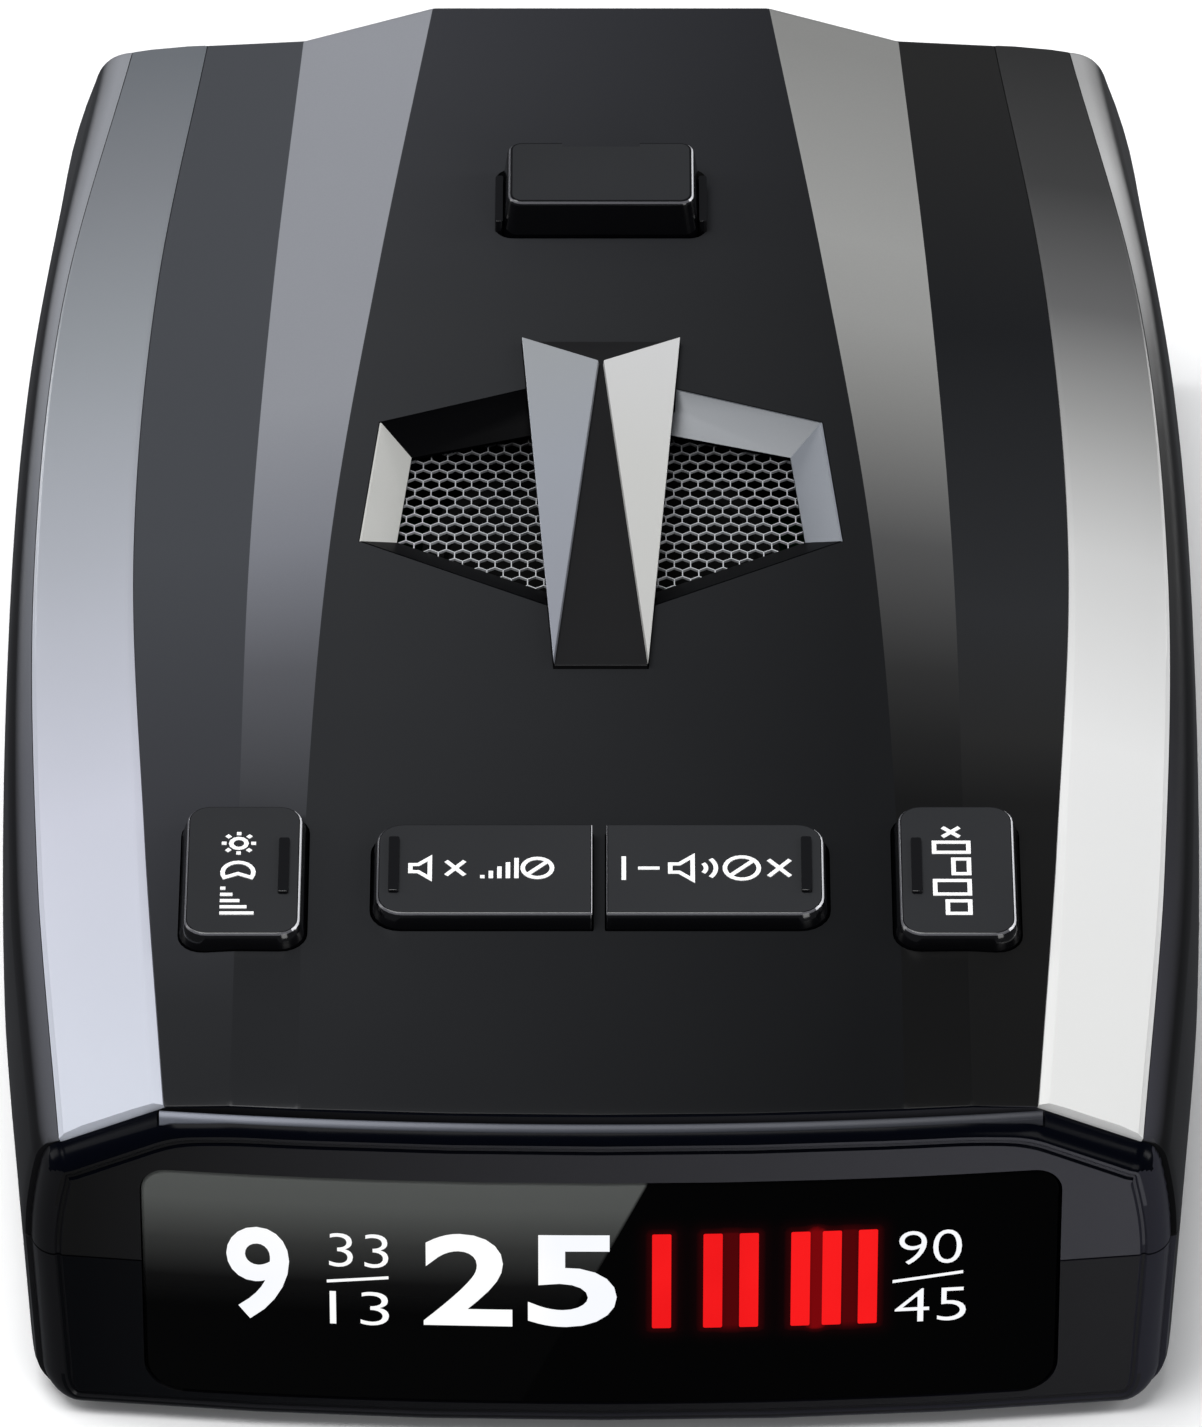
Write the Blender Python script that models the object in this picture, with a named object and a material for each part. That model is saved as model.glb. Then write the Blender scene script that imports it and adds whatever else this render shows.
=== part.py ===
"""Windscreen radar detector, modelled as the separate pieces it comes apart into.

X points right, Y from the display end to the windscreen end, Z up. The origin is under the middle of
the body, on its flat base. Lengths in this file are millimetres and become metres in add_object.
"""

import math

import bmesh
import bpy
import numpy as np
from mathutils import Vector

MM = 0.001
GAP = 0.3  # clearance left between neighbouring pieces

# Whole body
LENGTH = 106.4
FRONT_Y = -LENGTH / 2
REAR_Y = LENGTH / 2
WALL = 2.2
PARTING_Z = 11.5
FRONT_TOP_Z = 21.85
TOP_TILT = math.radians(3.7)

# Cross-section of the body at five stations: half widths, and drops from one edge to the next
STATION_Y = (-53.0, -27.0, 0.0, 27.0, 53.0)
PLATEAU_X = (17.3, 17.3, 16.25, 13.65, 10.6)
FOOT_X = (21.2, 21.2, 21.1, 20.2, 18.8)
SHOULDER_X = (24.9, 26.7, 28.1, 27.4, 24.9)
STRIPE_X = (30.9, 33.0, 34.1, 33.2, 29.6)
BELLY_X = (33.2, 35.2, 36.05, 36.0, 34.4)
FOOT_DROP = (0.0, 0.0, 0.8, 1.65, 2.5)
SHOULDER_DROP = (0.3, 0.3, 1.0, 1.95, 2.85)
STRIPE_DROP = (3.0, 2.4, 1.7, 1.1, 0.5)
ROUND_X = (1.6, 1.7, 1.35, 1.4, 2.35)  # width and drop of the rounding outside the stripe
ROUND_DROP = (1.6, 1.7, 1.6, 1.6, 1.9)
SIDE_LEAN = 0.4  # the side wall draws in by this much from the belly to the base
BASE_CORNER = 2.6

# Rounded ends
FACE_RADIUS = 250.0  # the display face is an arc in plan
FACE_FADE_Y = -30.0  # the arc has died out here
FRONT_ROUND = (2.0, 1.1)  # how far the front edge draws in sideways and downwards
FRONT_DEPTH = 1.8
REAR_ROUND = (0.8, 0.6)
REAR_DEPTH = 0.8
BODY_Y = (-48.0, -38.0, -27.0, -14.0, 0.0, 13.0, 26.0, 37.0, 46.0)

# Display
WINDOW_HALF_X = 26.4
WINDOW_Z = (1.95, 18.3)
WINDOW_CORNER = 2.0
LENS_THICK = 1.9
MASK_THICK = 0.6
BAR_CENTRES_X = (3.5, 6.4, 8.5, 11.45, 13.25, 15.3)
BAR_SIZE = (1.1, 6.9)
BAR_MIDDLE_Z = 11.1
GUIDE_X = (2.2, 16.6)
GUIDE_Z = (7.0, 15.8)
GUIDE_BACK = 7.2  # behind the middle of the face

# Side trims
TRIM_THICK = 0.8
TRIM_FRONT_Y = -51.4
TRIM_REAR_Y = 52.7

# Speaker recess, measured along the sloping top from Y = 0
RECESS_OUTER = ((0.0, 16.1), (13.42, 11.2), (14.5, -0.15), (0.0, -7.9))
RECESS_INNER = ((0.0, 13.2), (11.5, 9.75), (12.3, 1.65), (0.0, -4.75))
RECESS_DEPTH = 1.6
GRILLE_THICK = 0.4
BRIDGE_PLAN = ((-4.77, 18.8), (4.77, 18.8), (2.75, -12.0), (-2.75, -12.0))
BRIDGE_APEX_Y = 15.4
BRIDGE_RIM = 0.2
BRIDGE_RISE = 0.9
BRIDGE_BASE = -0.75
BLADE_THICK = 0.4
SPEAKER_Y = 3.5
SPEAKER_RADIUS = 11.0
SPEAKER_DEPTH = 3.4
MAGNET_RADIUS = 5.0
MAGNET_THICK = 2.6

# Keys: name, left edge, right edge, near edge, far edge
KEYS = (
    ("dim", -24.1, -17.5, -37.2, -25.9),
    ("mute", -13.0, -0.5, -35.4, -27.5),
    ("imute", 0.3, 12.9, -35.4, -27.5),
    ("city", 17.4, 24.0, -37.2, -25.9),
)
KEY_PROUD = 1.0
KEY_CORNER = 1.2
KEY_FLANGE = 0.9
KEY_TRAVEL = 0.8
SWITCH_SIDE = 6.0

# Bracket release
RELEASE_SIZE = (12.2, 6.6)
RELEASE_Y = 32.7
RELEASE_PROUD = 2.5
SLOT_HALF_X = 6.7
SLOT_Z = (19.0, 21.4)
SLEEVE_WALL = 0.8
SLEEVE_Y = (27.5, 51.0)
SPRING_TURNS = 3
SPRING_RADIUS = 2.4
SPRING_WIRE = 0.4
SPRING_SEAT_Z = 13.2  # top of the horn antenna's throat
YOKE_Z = (15.8, 17.2)
YOKE_HALF_X = 10.2
LEG_WIDTH = 1.3

# Boards, antenna and sockets
BOARD_THICK = 1.2
MAIN_BOARD_Z = 7.5
REAR_WINDOW_HALF_X = 22.0
REAR_WINDOW_Z = (3.9, 15.4)
JACK_Y = -20.0
JACK_Z = 6.5
WHEEL_CENTRE = (29.1, -14.0, 6.3)
WHEEL_RADIUS = 7.0
WHEEL_THICK = 2.4
WHEEL_TEETH = 30
WHEEL_BORE = 1.6
SCOOP_RADIUS = 14.0
SCOOP_X = 48.4

# Screws from below
SCREW_PLACES = ((-28.6, -37.5), (28.6, -37.5), (-28.0, 40.0), (28.0, 40.0))
BOSS_RADIUS = 2.6
SCREW_HEAD_RADIUS = 1.9
SCREW_SHANK_RADIUS = 0.9
SCREW_HEAD_Z = (0.5, 2.1)
SCREW_TIP_Z = (15.5, 16.3)
LABEL_SIZE = (42.0, 26.0)

# Colours: red, green, blue, then roughness and metallic
FINISHES = {
    "black_plastic": (0.018, 0.018, 0.020, 0.45, 0.0),
    "gloss_black": (0.010, 0.010, 0.012, 0.12, 0.0),
    "silver_paint": (0.420, 0.430, 0.450, 0.30, 0.8),
    "line_grey": (0.120, 0.125, 0.140, 0.35, 0.5),
    "lens_black": (0.004, 0.004, 0.005, 0.05, 0.0),
    "red_acrylic": (0.900, 0.020, 0.020, 0.25, 0.0),
    "board_green": (0.015, 0.120, 0.045, 0.50, 0.0),
    "zinc": (0.420, 0.420, 0.430, 0.38, 1.0),
    "steel": (0.550, 0.550, 0.560, 0.30, 1.0),
    "switch_grey": (0.180, 0.180, 0.190, 0.50, 0.0),
    "paper_cone": (0.040, 0.038, 0.036, 0.80, 0.0),
    "label_foil": (0.300, 0.300, 0.310, 0.50, 0.3),
}


def clear_scene():
    for obj in list(bpy.data.objects):
        bpy.data.objects.remove(obj)


def make_finish(name):
    red, green, blue, roughness, metallic = FINISHES[name]
    material = bpy.data.materials.new(name)
    material.use_nodes = True
    shader = material.node_tree.nodes["Principled BSDF"]
    shader.inputs["Base Color"].default_value = (red, green, blue, 1.0)
    shader.inputs["Roughness"].default_value = roughness
    shader.inputs["Metallic"].default_value = metallic
    return material


# ---------------------------------------------------------------- meshes


def add_object(name, mesh_data, finish=None, at=(0.0, 0.0, 0.0), tilt=0.0, round_edges=False):
    """One object from (points, faces) in millimetres, placed by its location and its tilt about X."""
    points, faces = mesh_data
    mesh = bpy.data.meshes.new(name)
    mesh.from_pydata([tuple(c * MM for c in point) for point in points], [], faces)
    bm = bmesh.new()
    bm.from_mesh(mesh)
    bmesh.ops.recalc_face_normals(bm, faces=bm.faces)
    if bm.calc_volume(signed=True) < 0:
        bmesh.ops.reverse_faces(bm, faces=bm.faces)
    bent = [face for face in bm.faces if len(face.verts) == 4 and not is_flat(face)]
    bmesh.ops.triangulate(bm, faces=bent)
    bm.to_mesh(mesh)
    bm.free()
    if round_edges:
        mesh.shade_smooth()
        mesh.set_sharp_from_angle(angle=math.radians(35.0))
    obj = bpy.data.objects.new(name, mesh)
    bpy.context.scene.collection.objects.link(obj)
    obj.location = Vector(at) * MM
    obj.rotation_euler = (tilt, 0.0, 0.0)
    if finish:
        mesh.materials.append(make_finish(finish))
    return obj


def is_flat(face):
    corner = face.verts[0].co
    return all(abs((v.co - corner).dot(face.normal)) < 1e-7 for v in face.verts)


def helper(name, mesh_data, **placing):
    """A shape that only cuts, joins or trims another."""
    obj = add_object(name, mesh_data, **placing)
    obj.hide_render = True
    obj.display_type = "WIRE"
    return obj


def combine(target, other, operation="DIFFERENCE"):
    modifier = target.modifiers.new(other.name, "BOOLEAN")
    modifier.operation = operation
    modifier.solver = "EXACT"
    modifier.object = other


def loft(rings, closed=False):
    """Faces between equal rings of points, with a flat face on each end unless the loft is closed."""
    size = len(rings[0])
    points = [point for ring in rings for point in ring]
    faces = []
    steps = len(rings) if closed else len(rings) - 1
    for k in range(steps):
        here = k * size
        there = ((k + 1) % len(rings)) * size
        for i in range(size):
            j = (i + 1) % size
            faces.append((here + i, here + j, there + j, there + i))
    if not closed:
        faces.append(tuple(range(size)))
        faces.append(tuple(range(len(points) - size, len(points))))
    return points, faces


def prism(outline, low, high):
    return loft([[(x, y, z) for x, y in outline] for z in (low, high)])


def box(low, high):
    corners = ((low[0], low[1]), (high[0], low[1]), (high[0], high[1]), (low[0], high[1]))
    return prism(corners, low[2], high[2])


def rounded_rectangle(size_x, size_y, radius, centre=(0.0, 0.0), steps=4):
    points = []
    for quarter in range(4):
        turn = quarter * math.pi / 2
        sign_x = 1 if quarter in (0, 3) else -1
        sign_y = 1 if quarter in (0, 1) else -1
        for k in range(steps + 1):
            angle = turn + k * math.pi / 2 / steps
            x = sign_x * (size_x / 2 - radius) + radius * math.cos(angle)
            y = sign_y * (size_y / 2 - radius) + radius * math.sin(angle)
            points.append((centre[0] + x, centre[1] + y))
    return points


def circle(radius, steps=20, centre=(0.0, 0.0)):
    angles = [2 * math.pi * k / steps for k in range(steps)]
    return [(centre[0] + radius * math.cos(a), centre[1] + radius * math.sin(a)) for a in angles]


def turned(profile, steps=24):
    """Rings of (radius, z) pairs about the Z axis."""
    return loft([[(x, y, z) for x, y in circle(radius, steps)] for radius, z in profile])


def upright(mesh_data):
    """The same shape with its extrusion turned from Z to Y: the outline's Y becomes Z."""
    points, faces = mesh_data
    return [(x, z, y) for x, y, z in points], faces


def mirrored_outline(half):
    """A closed outline from its right half, whose first and last points lie on the middle line."""
    left = [(-x, y) for x, y in half[-2:0:-1]]
    return list(half) + left


# ---------------------------------------------------------------- body surface


def along(values):
    """Smooth curve through one value at each station."""
    slopes = np.gradient(values, STATION_Y)

    def at(y):
        k = int(np.clip(np.searchsorted(STATION_Y, y) - 1, 0, len(values) - 2))
        span = STATION_Y[k + 1] - STATION_Y[k]
        t = (y - STATION_Y[k]) / span
        start = (1 + 2 * t) * (1 - t) ** 2 * values[k] + t * (1 - t) ** 2 * span * slopes[k]
        end = t * t * (3 - 2 * t) * values[k + 1] + t * t * (t - 1) * span * slopes[k + 1]
        return start + end

    return at


plateau_x, foot_x, shoulder_x = along(PLATEAU_X), along(FOOT_X), along(SHOULDER_X)
stripe_x, belly_x = along(STRIPE_X), along(BELLY_X)
foot_drop, shoulder_drop, stripe_drop = along(FOOT_DROP), along(SHOULDER_DROP), along(STRIPE_DROP)
round_x, round_drop = along(ROUND_X), along(ROUND_DROP)


def top_z(y):
    return FRONT_TOP_Z + math.tan(TOP_TILT) * (y - FRONT_Y)


def stripe_edges(y):
    """The two edges of the outer stripe at y, each as (x, z)."""
    inner = (shoulder_x(y), top_z(y) - shoulder_drop(y))
    return inner, (stripe_x(y), inner[1] - stripe_drop(y))


def curve(start, bend, end, steps):
    """Points that follow start on the curve towards bend and round to end."""
    points = []
    for k in range(1, steps + 1):
        t = k / steps
        weights = ((1 - t) ** 2, 2 * t * (1 - t), t * t)
        points.append(tuple(sum(w * p[i] for w, p in zip(weights, (start, bend, end))) for i in (0, 1)))
    return points


def outer_side(y, outer, belly):
    """The rounding outside the stripe, and the side below it down to the parting line."""
    slope = stripe_drop(y) / (stripe_x(y) - shoulder_x(y))
    foot = (outer[0] + round_x(y), outer[1] - round_drop(y))
    lead = 0.8 * round_x(y)
    rounding = curve(outer, (outer[0] + lead, outer[1] - 0.5 * slope * lead), foot, 4)
    bend = (belly, foot[1] - 0.55 * (foot[1] - PARTING_Z))
    return rounding + curve(foot, bend, (belly, PARTING_Z), 3)


def inner_side(outer, belly):
    """A plain curve for the hollow, which stays clear of the rounding."""
    bend = (belly, outer[1] - 0.85 * (belly - outer[0]))
    return curve(outer, bend, (belly, PARTING_Z), 5)


def section(y, hollow=False):
    """Closed cross-section of the body at y, as (x, z) points."""
    top = top_z(y)
    inner, outer = stripe_edges(y)
    belly = belly_x(y)
    plateau = plateau_x(y)
    half = [(0.0, top), (plateau / 2, top), (plateau, top), (foot_x(y), top - foot_drop(y))]
    half += [inner, outer]
    half += inner_side(outer, belly) if hollow else outer_side(y, outer, belly)
    side = belly - SIDE_LEAN
    for k in range(5):
        angle = k * math.pi / 8
        x = side - BASE_CORNER * (1 - math.cos(angle))
        half.append((x, BASE_CORNER * (1 - math.sin(angle))))
    half += [(20.0, 0.0), (10.0, 0.0), (0.0, 0.0)]
    return mirrored_outline(half)


def drawn_in(outline, in_x, in_z):
    """The outline moved inwards, by its own amount sideways and up and down."""
    points = [Vector(p) for p in outline]
    moved = []
    for i, point in enumerate(points):
        before = (point - points[i - 1]).normalized()
        after = (points[(i + 1) % len(points)] - point).normalized()
        normals = [Vector((-edge.y, edge.x)) for edge in (before, after)]
        miter = (normals[0] + normals[1]) / (1 + normals[0].dot(normals[1]))
        moved.append((point.x - in_x * miter.x, point.y - in_z * miter.y))
    return moved


def face_sag(x):
    """How far the arc of the display face lies behind its middle at x."""
    return x * x / (2 * FACE_RADIUS)


def fade(y):
    return min(1.0, max(0.0, (FACE_FADE_Y - y) / (FACE_FADE_Y - FRONT_Y)))


def rounded(outline, sizes, depth, distance):
    """The outline at this distance from an end whose edge is rounded off over depth."""
    share = 1 - math.sqrt(1 - (1 - distance / depth) ** 2)
    return drawn_in(outline, sizes[0] * share, sizes[1] * share)


def bent(outline, y):
    """The (x, z) outline at y, carried back with the arc of the face."""
    return [(x, y + fade(y) * face_sag(x), z) for x, z in outline]


def capped(rings, front_y, rear_y):
    """A loft of the rings with smaller rings across both ends, so that each end can follow the arc."""
    for y, middle_z, first in ((front_y, 10.5, True), (rear_y, 13.0, False)):
        ring = rings[0] if first else rings[-1]
        caps = []
        for scale in (0.66, 0.33, 0.02):
            caps.append(bent([(x * scale, middle_z + (z - middle_z) * scale) for x, _, z in ring], y))
        rings = caps[::-1] + rings if first else rings + caps
    return loft(rings)


def outside():
    """The body's closed outer surface."""
    rings = []
    for distance in (0.0, 0.12, 0.45, 1.0, FRONT_DEPTH):
        y = FRONT_Y + distance
        rings.append(bent(rounded(section(y), FRONT_ROUND, FRONT_DEPTH, distance), y))
    rings += [bent(section(y), y) for y in BODY_Y]
    for distance in (REAR_DEPTH, 0.4, 0.15, 0.0):
        y = REAR_Y - distance
        rings.append(bent(rounded(section(y), REAR_ROUND, REAR_DEPTH, distance), y))
    return capped(rings, FRONT_Y, REAR_Y)


def hollow():
    """The space inside the body's walls."""
    ends = (FRONT_Y + WALL, REAR_Y - WALL)
    rings = []
    for y in (ends[0], *BODY_Y, ends[1]):
        rings.append(bent(drawn_in(section(y, hollow=True), WALL, WALL), y))
    return capped(rings, *ends)


def arc_band(half_x, near, far, low, high, steps=12):
    """An upright band that follows the display face's arc, from near to far behind the face."""
    xs = np.linspace(-half_x, half_x, steps + 1)
    front = [(x, FRONT_Y + near + face_sag(x)) for x in xs]
    back = [(x, FRONT_Y + far + face_sag(x)) for x in xs[::-1]]
    return prism(front + back, low, high)


def window_prism(margin, near_y, far_y):
    """Upright rounded block on the display window's outline, grown by margin."""
    middle = (0.0, sum(WINDOW_Z) / 2)
    height = WINDOW_Z[1] - WINDOW_Z[0]
    outline = rounded_rectangle(
        2 * (WINDOW_HALF_X + margin), height + 2 * margin, WINDOW_CORNER + margin, middle
    )
    return upright(prism(outline, near_y, far_y))


def stripe_strip(side, rise, depth, margin, near_y, far_y):
    """A strip along the outer stripe of one side, from rise above its surface to depth below."""
    rings = []
    for y in np.linspace(near_y, far_y, 15):
        inner, outer = (Vector(p) for p in stripe_edges(y))
        run = (outer - inner).normalized()
        up = Vector((-run.y, run.x))
        corners = (
            inner - run * margin + up * rise,
            outer + run * margin + up * rise,
            outer + run * margin - up * depth,
            inner - run * margin - up * depth,
        )
        rings.append([(side * c.x, y + fade(y) * face_sag(c.x), c.y) for c in corners])
    return loft(rings)


# ---------------------------------------------------------------- housing


def shell(name, low_z, high_z):
    """One half of the hollow body, between two heights."""
    cover = add_object(name, outside(), "black_plastic", round_edges=True)
    span = (80.0, 120.0)
    slab = helper(name + "_slab", box((-span[0], -span[1], low_z), (span[0], span[1], high_z)))
    combine(cover, slab, "INTERSECT")
    combine(cover, helper(name + "_hollow", hollow()))
    return cover


def make_top_cover():
    cover = shell("top_cover", PARTING_Z + GAP / 2, 60.0)
    pad = [(x * 1.14, 3.5 + (y - 3.5) * 1.14) for x, y in mirrored_outline(RECESS_OUTER)]
    on_top = {"at": (0.0, 0.0, top_z(0.0)), "tilt": TOP_TILT}
    combine(cover, helper("recess_pad", prism(pad, -3.4, -1.0), **on_top), "UNION")
    for index, (x, y) in enumerate(SCREW_PLACES):
        inner, outer = stripe_edges(y)
        share = (abs(x) - inner[0]) / (outer[0] - inner[0])
        high = inner[1] + share * (outer[1] - inner[1]) - 1.7
        boss = prism(circle(BOSS_RADIUS, centre=(x, y)), PARTING_Z + 0.5, high)
        combine(cover, helper(f"boss_{index}", boss), "UNION")
        bore = prism(circle(SCREW_SHANK_RADIUS + 0.2, 12, (x, y)), PARTING_Z - 1.0, high - 2.0)
        combine(cover, helper(f"boss_bore_{index}", bore))
    recess = mirrored_outline(RECESS_OUTER)
    seat = [(x * 1.02, 3.5 + (y - 3.5) * 1.03) for x, y in recess]
    seat_floor = -(RECESS_DEPTH + GRILLE_THICK + 2 * GAP)
    combine(cover, helper("recess_seat", prism(seat, seat_floor, 3.0), **on_top))
    sound_hole = mirrored_outline(RECESS_INNER)
    combine(cover, helper("sound_hole", prism(sound_hole, -6.0, 3.0), **on_top))
    pocket = grown(BRIDGE_PLAN, GAP)
    combine(cover, helper("bridge_pocket", prism(pocket, BRIDGE_BASE - GAP, 3.0), **on_top))
    for name, left, right, near, far in KEYS:
        combine(cover, helper(name + "_opening", **key_block(left, right, near, far, GAP, -8.0, 3.0)))
    opening = rounded_rectangle(RELEASE_SIZE[0] + 2 * GAP, RELEASE_SIZE[1] + 2 * GAP, 1.2)
    placed = {"at": (0.0, RELEASE_Y, top_z(RELEASE_Y)), "tilt": TOP_TILT}
    combine(cover, helper("release_opening", prism(opening, -5.0, 3.0), **placed))
    combine(cover, helper("window_cut_top", window_prism(0.0, -60.0, -48.5)))
    slot = box((-SLOT_HALF_X, 49.0, SLOT_Z[0]), (SLOT_HALF_X, 60.0, SLOT_Z[1]))
    combine(cover, helper("slot_cut", slot))
    combine(cover, helper("rear_window_cut_top", rear_window_block(GAP, 49.0, 60.0)))
    groove = arc_band(25.3, 0.55, 1.75, FRONT_TOP_Z - 1.0, FRONT_TOP_Z + 2.0)
    combine(cover, helper("line_groove", groove))
    for side, word in ((-1, "left"), (1, "right")):
        seat = stripe_strip(side, 1.5, TRIM_THICK + GAP, 0.15, TRIM_FRONT_Y - 0.2, TRIM_REAR_Y + 0.2)
        combine(cover, helper(word + "_trim_seat", seat))
    return cover


def make_bottom_cover():
    cover = shell("bottom_cover", -5.0, PARTING_Z - GAP / 2)
    for index, (x, y) in enumerate(SCREW_PLACES):
        post = prism(circle(BOSS_RADIUS + 0.6, centre=(x, y)), 1.0, PARTING_Z - 0.3)
        combine(cover, helper(f"post_{index}", post), "UNION")
        bore = prism(circle(SCREW_SHANK_RADIUS + 0.25, 12, (x, y)), -1.0, 14.0)
        combine(cover, helper(f"post_bore_{index}", bore))
        sink = prism(circle(SCREW_HEAD_RADIUS + 0.3, 16, (x, y)), -1.0, 2.4)
        combine(cover, helper(f"head_sink_{index}", sink))
    combine(cover, helper("window_cut_bottom", window_prism(0.0, -60.0, -48.5)))
    combine(cover, helper("rear_window_cut_bottom", rear_window_block(GAP, 49.0, 60.0)))
    jack_hole = prism(circle(2.2, 16, (JACK_Y, JACK_Z)), -40.0, -28.0)
    combine(cover, helper("jack_hole", sideways(jack_hole)))
    x, y, z = WHEEL_CENTRE
    slot = box((x, y - 6.3, z - WHEEL_THICK / 2 - GAP), (40.0, y + 6.3, z + WHEEL_THICK / 2 + GAP))
    combine(cover, helper("wheel_slot", slot))
    scoop = prism(circle(SCOOP_RADIUS, 32, (SCOOP_X, y)), z - 2.6, z + 2.6)
    combine(cover, helper("wheel_scoop", scoop))
    recess = rounded_rectangle(LABEL_SIZE[0] + 2 * GAP, LABEL_SIZE[1] + 2 * GAP, 2.0)
    combine(cover, helper("label_recess", prism(recess, -1.0, 0.6)))
    return cover


def sideways(mesh_data):
    """The same shape with its extrusion turned from Z to X: its outline is (y, z)."""
    points, faces = mesh_data
    return [(z, x, y) for x, y, z in points], faces


def grown(outline, margin):
    """A convex outline listed clockwise, moved outwards by margin."""
    return drawn_in(outline, -margin, -margin)


def make_trims():
    for side, word in ((-1, "left"), (1, "right")):
        strip = stripe_strip(side, 0.0, TRIM_THICK, -0.1, TRIM_FRONT_Y, TRIM_REAR_Y)
        add_object(word + "_side_trim", strip, "silver_paint", round_edges=True)
    band = arc_band(25.0, 0.85, 1.35, FRONT_TOP_Z - 0.7, FRONT_TOP_Z - 0.05)
    add_object("hood_line_trim", band, "line_grey")


# ---------------------------------------------------------------- display


def make_display():
    middle_y = FRONT_Y + 10.0
    lens = add_object("display_lens", window_prism(-GAP, FRONT_Y - 5.0, middle_y), "lens_black")
    combine(lens, helper("lens_curve", arc_band(30.0, 0.0, LENS_THICK, -5.0, 30.0)), "INTERSECT")
    mask_near = LENS_THICK + 0.7
    mask = add_object("legend_mask", window_prism(0.8, FRONT_Y - 5.0, middle_y), "black_plastic")
    curve = arc_band(30.0, mask_near, mask_near + MASK_THICK, -5.0, 30.0)
    combine(mask, helper("mask_curve", curve), "INTERSECT")
    trim_mask = box((-26.9, -60.0, 2.6), (26.9, -40.0, 18.9))
    combine(mask, helper("mask_trim", trim_mask), "INTERSECT")
    guide_back = FRONT_Y + GUIDE_BACK
    plate = box((GUIDE_X[0], guide_back - 1.2, GUIDE_Z[0]), (GUIDE_X[1], guide_back, GUIDE_Z[1]))
    guide = add_object("bar_light_guide", plate, "red_acrylic")
    for index, x in enumerate(BAR_CENTRES_X):
        half_x, half_z = BAR_SIZE[0] / 2, BAR_SIZE[1] / 2
        low = (x - half_x, FRONT_Y + mask_near + MASK_THICK + 1.1, BAR_MIDDLE_Z - half_z)
        high = (x + half_x, guide_back - 0.6, BAR_MIDDLE_Z + half_z)
        combine(guide, helper(f"guide_bar_{index}", box(low, high)), "UNION")
    board = box((-26.0, guide_back + GAP, 3.0), (26.0, guide_back + GAP + BOARD_THICK, 17.4))
    add_object("display_board", board, "board_green")


# ---------------------------------------------------------------- keys


def key_block(left, right, near, far, margin, low, high):
    """A rounded block on a key's outline, standing square to the sloping top."""
    size = (right - left + 2 * margin, far - near + 2 * margin)
    outline = rounded_rectangle(size[0], size[1], KEY_CORNER + max(margin, 0.0), steps=3)
    centre = ((left + right) / 2, (near + far) / 2)
    place = (centre[0], centre[1], top_z(centre[1]))
    return {"mesh_data": prism(outline, low, high), "at": place, "tilt": TOP_TILT}


def make_keys():
    flange_high = -(WALL + GAP)
    flange_low = flange_high - KEY_FLANGE
    switch_low = MAIN_BOARD_Z + BOARD_THICK + GAP
    switch_high = switch_low + 3.2
    for name, left, right, near, far in KEYS:
        block = key_block(left, right, near, far, 0.0, flange_low, KEY_PROUD)
        centre = block["at"]
        half = ((right - left) / 2, (far - near) / 2)
        chamfer = 0.25
        outline = rounded_rectangle(2 * half[0], 2 * half[1], KEY_CORNER, steps=3)
        top = rounded_rectangle(
            2 * (half[0] - chamfer), 2 * (half[1] - chamfer), KEY_CORNER - chamfer, steps=3
        )
        rings = [[(x, y, flange_low) for x, y in outline]]
        rings.append([(x, y, KEY_PROUD - chamfer) for x, y in outline])
        rings.append([(x, y, KEY_PROUD) for x, y in top])
        key = add_object(name + "_button", loft(rings), "gloss_black", at=centre, tilt=TOP_TILT)
        # The two middle keys stand close together, so flanges only spread along Y.
        flange = box((-half[0], -half[1] - 1.0, flange_low), (half[0], half[1] + 1.0, flange_high))
        combine(key, helper(name + "_flange", flange, at=centre, tilt=TOP_TILT), "UNION")
        stem_low = switch_high + KEY_TRAVEL + GAP - centre[2]
        stem = box((-1.5, -1.5, stem_low), (1.5, 1.5, flange_high - 0.3))
        combine(key, helper(name + "_stem", stem, at=centre, tilt=TOP_TILT), "UNION")
        side = SWITCH_SIDE / 2
        place = (centre[0], centre[1], 0.0)
        switch = add_object(
            name + "_switch", box((-side, -side, switch_low), (side, side, switch_high - 1.0)),
            "switch_grey", at=place,
        )
        plunger = prism(circle(1.6, 12), switch_high - 1.4, switch_high)
        combine(switch, helper(name + "_plunger", plunger, at=place), "UNION")


# ---------------------------------------------------------------- speaker


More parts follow.
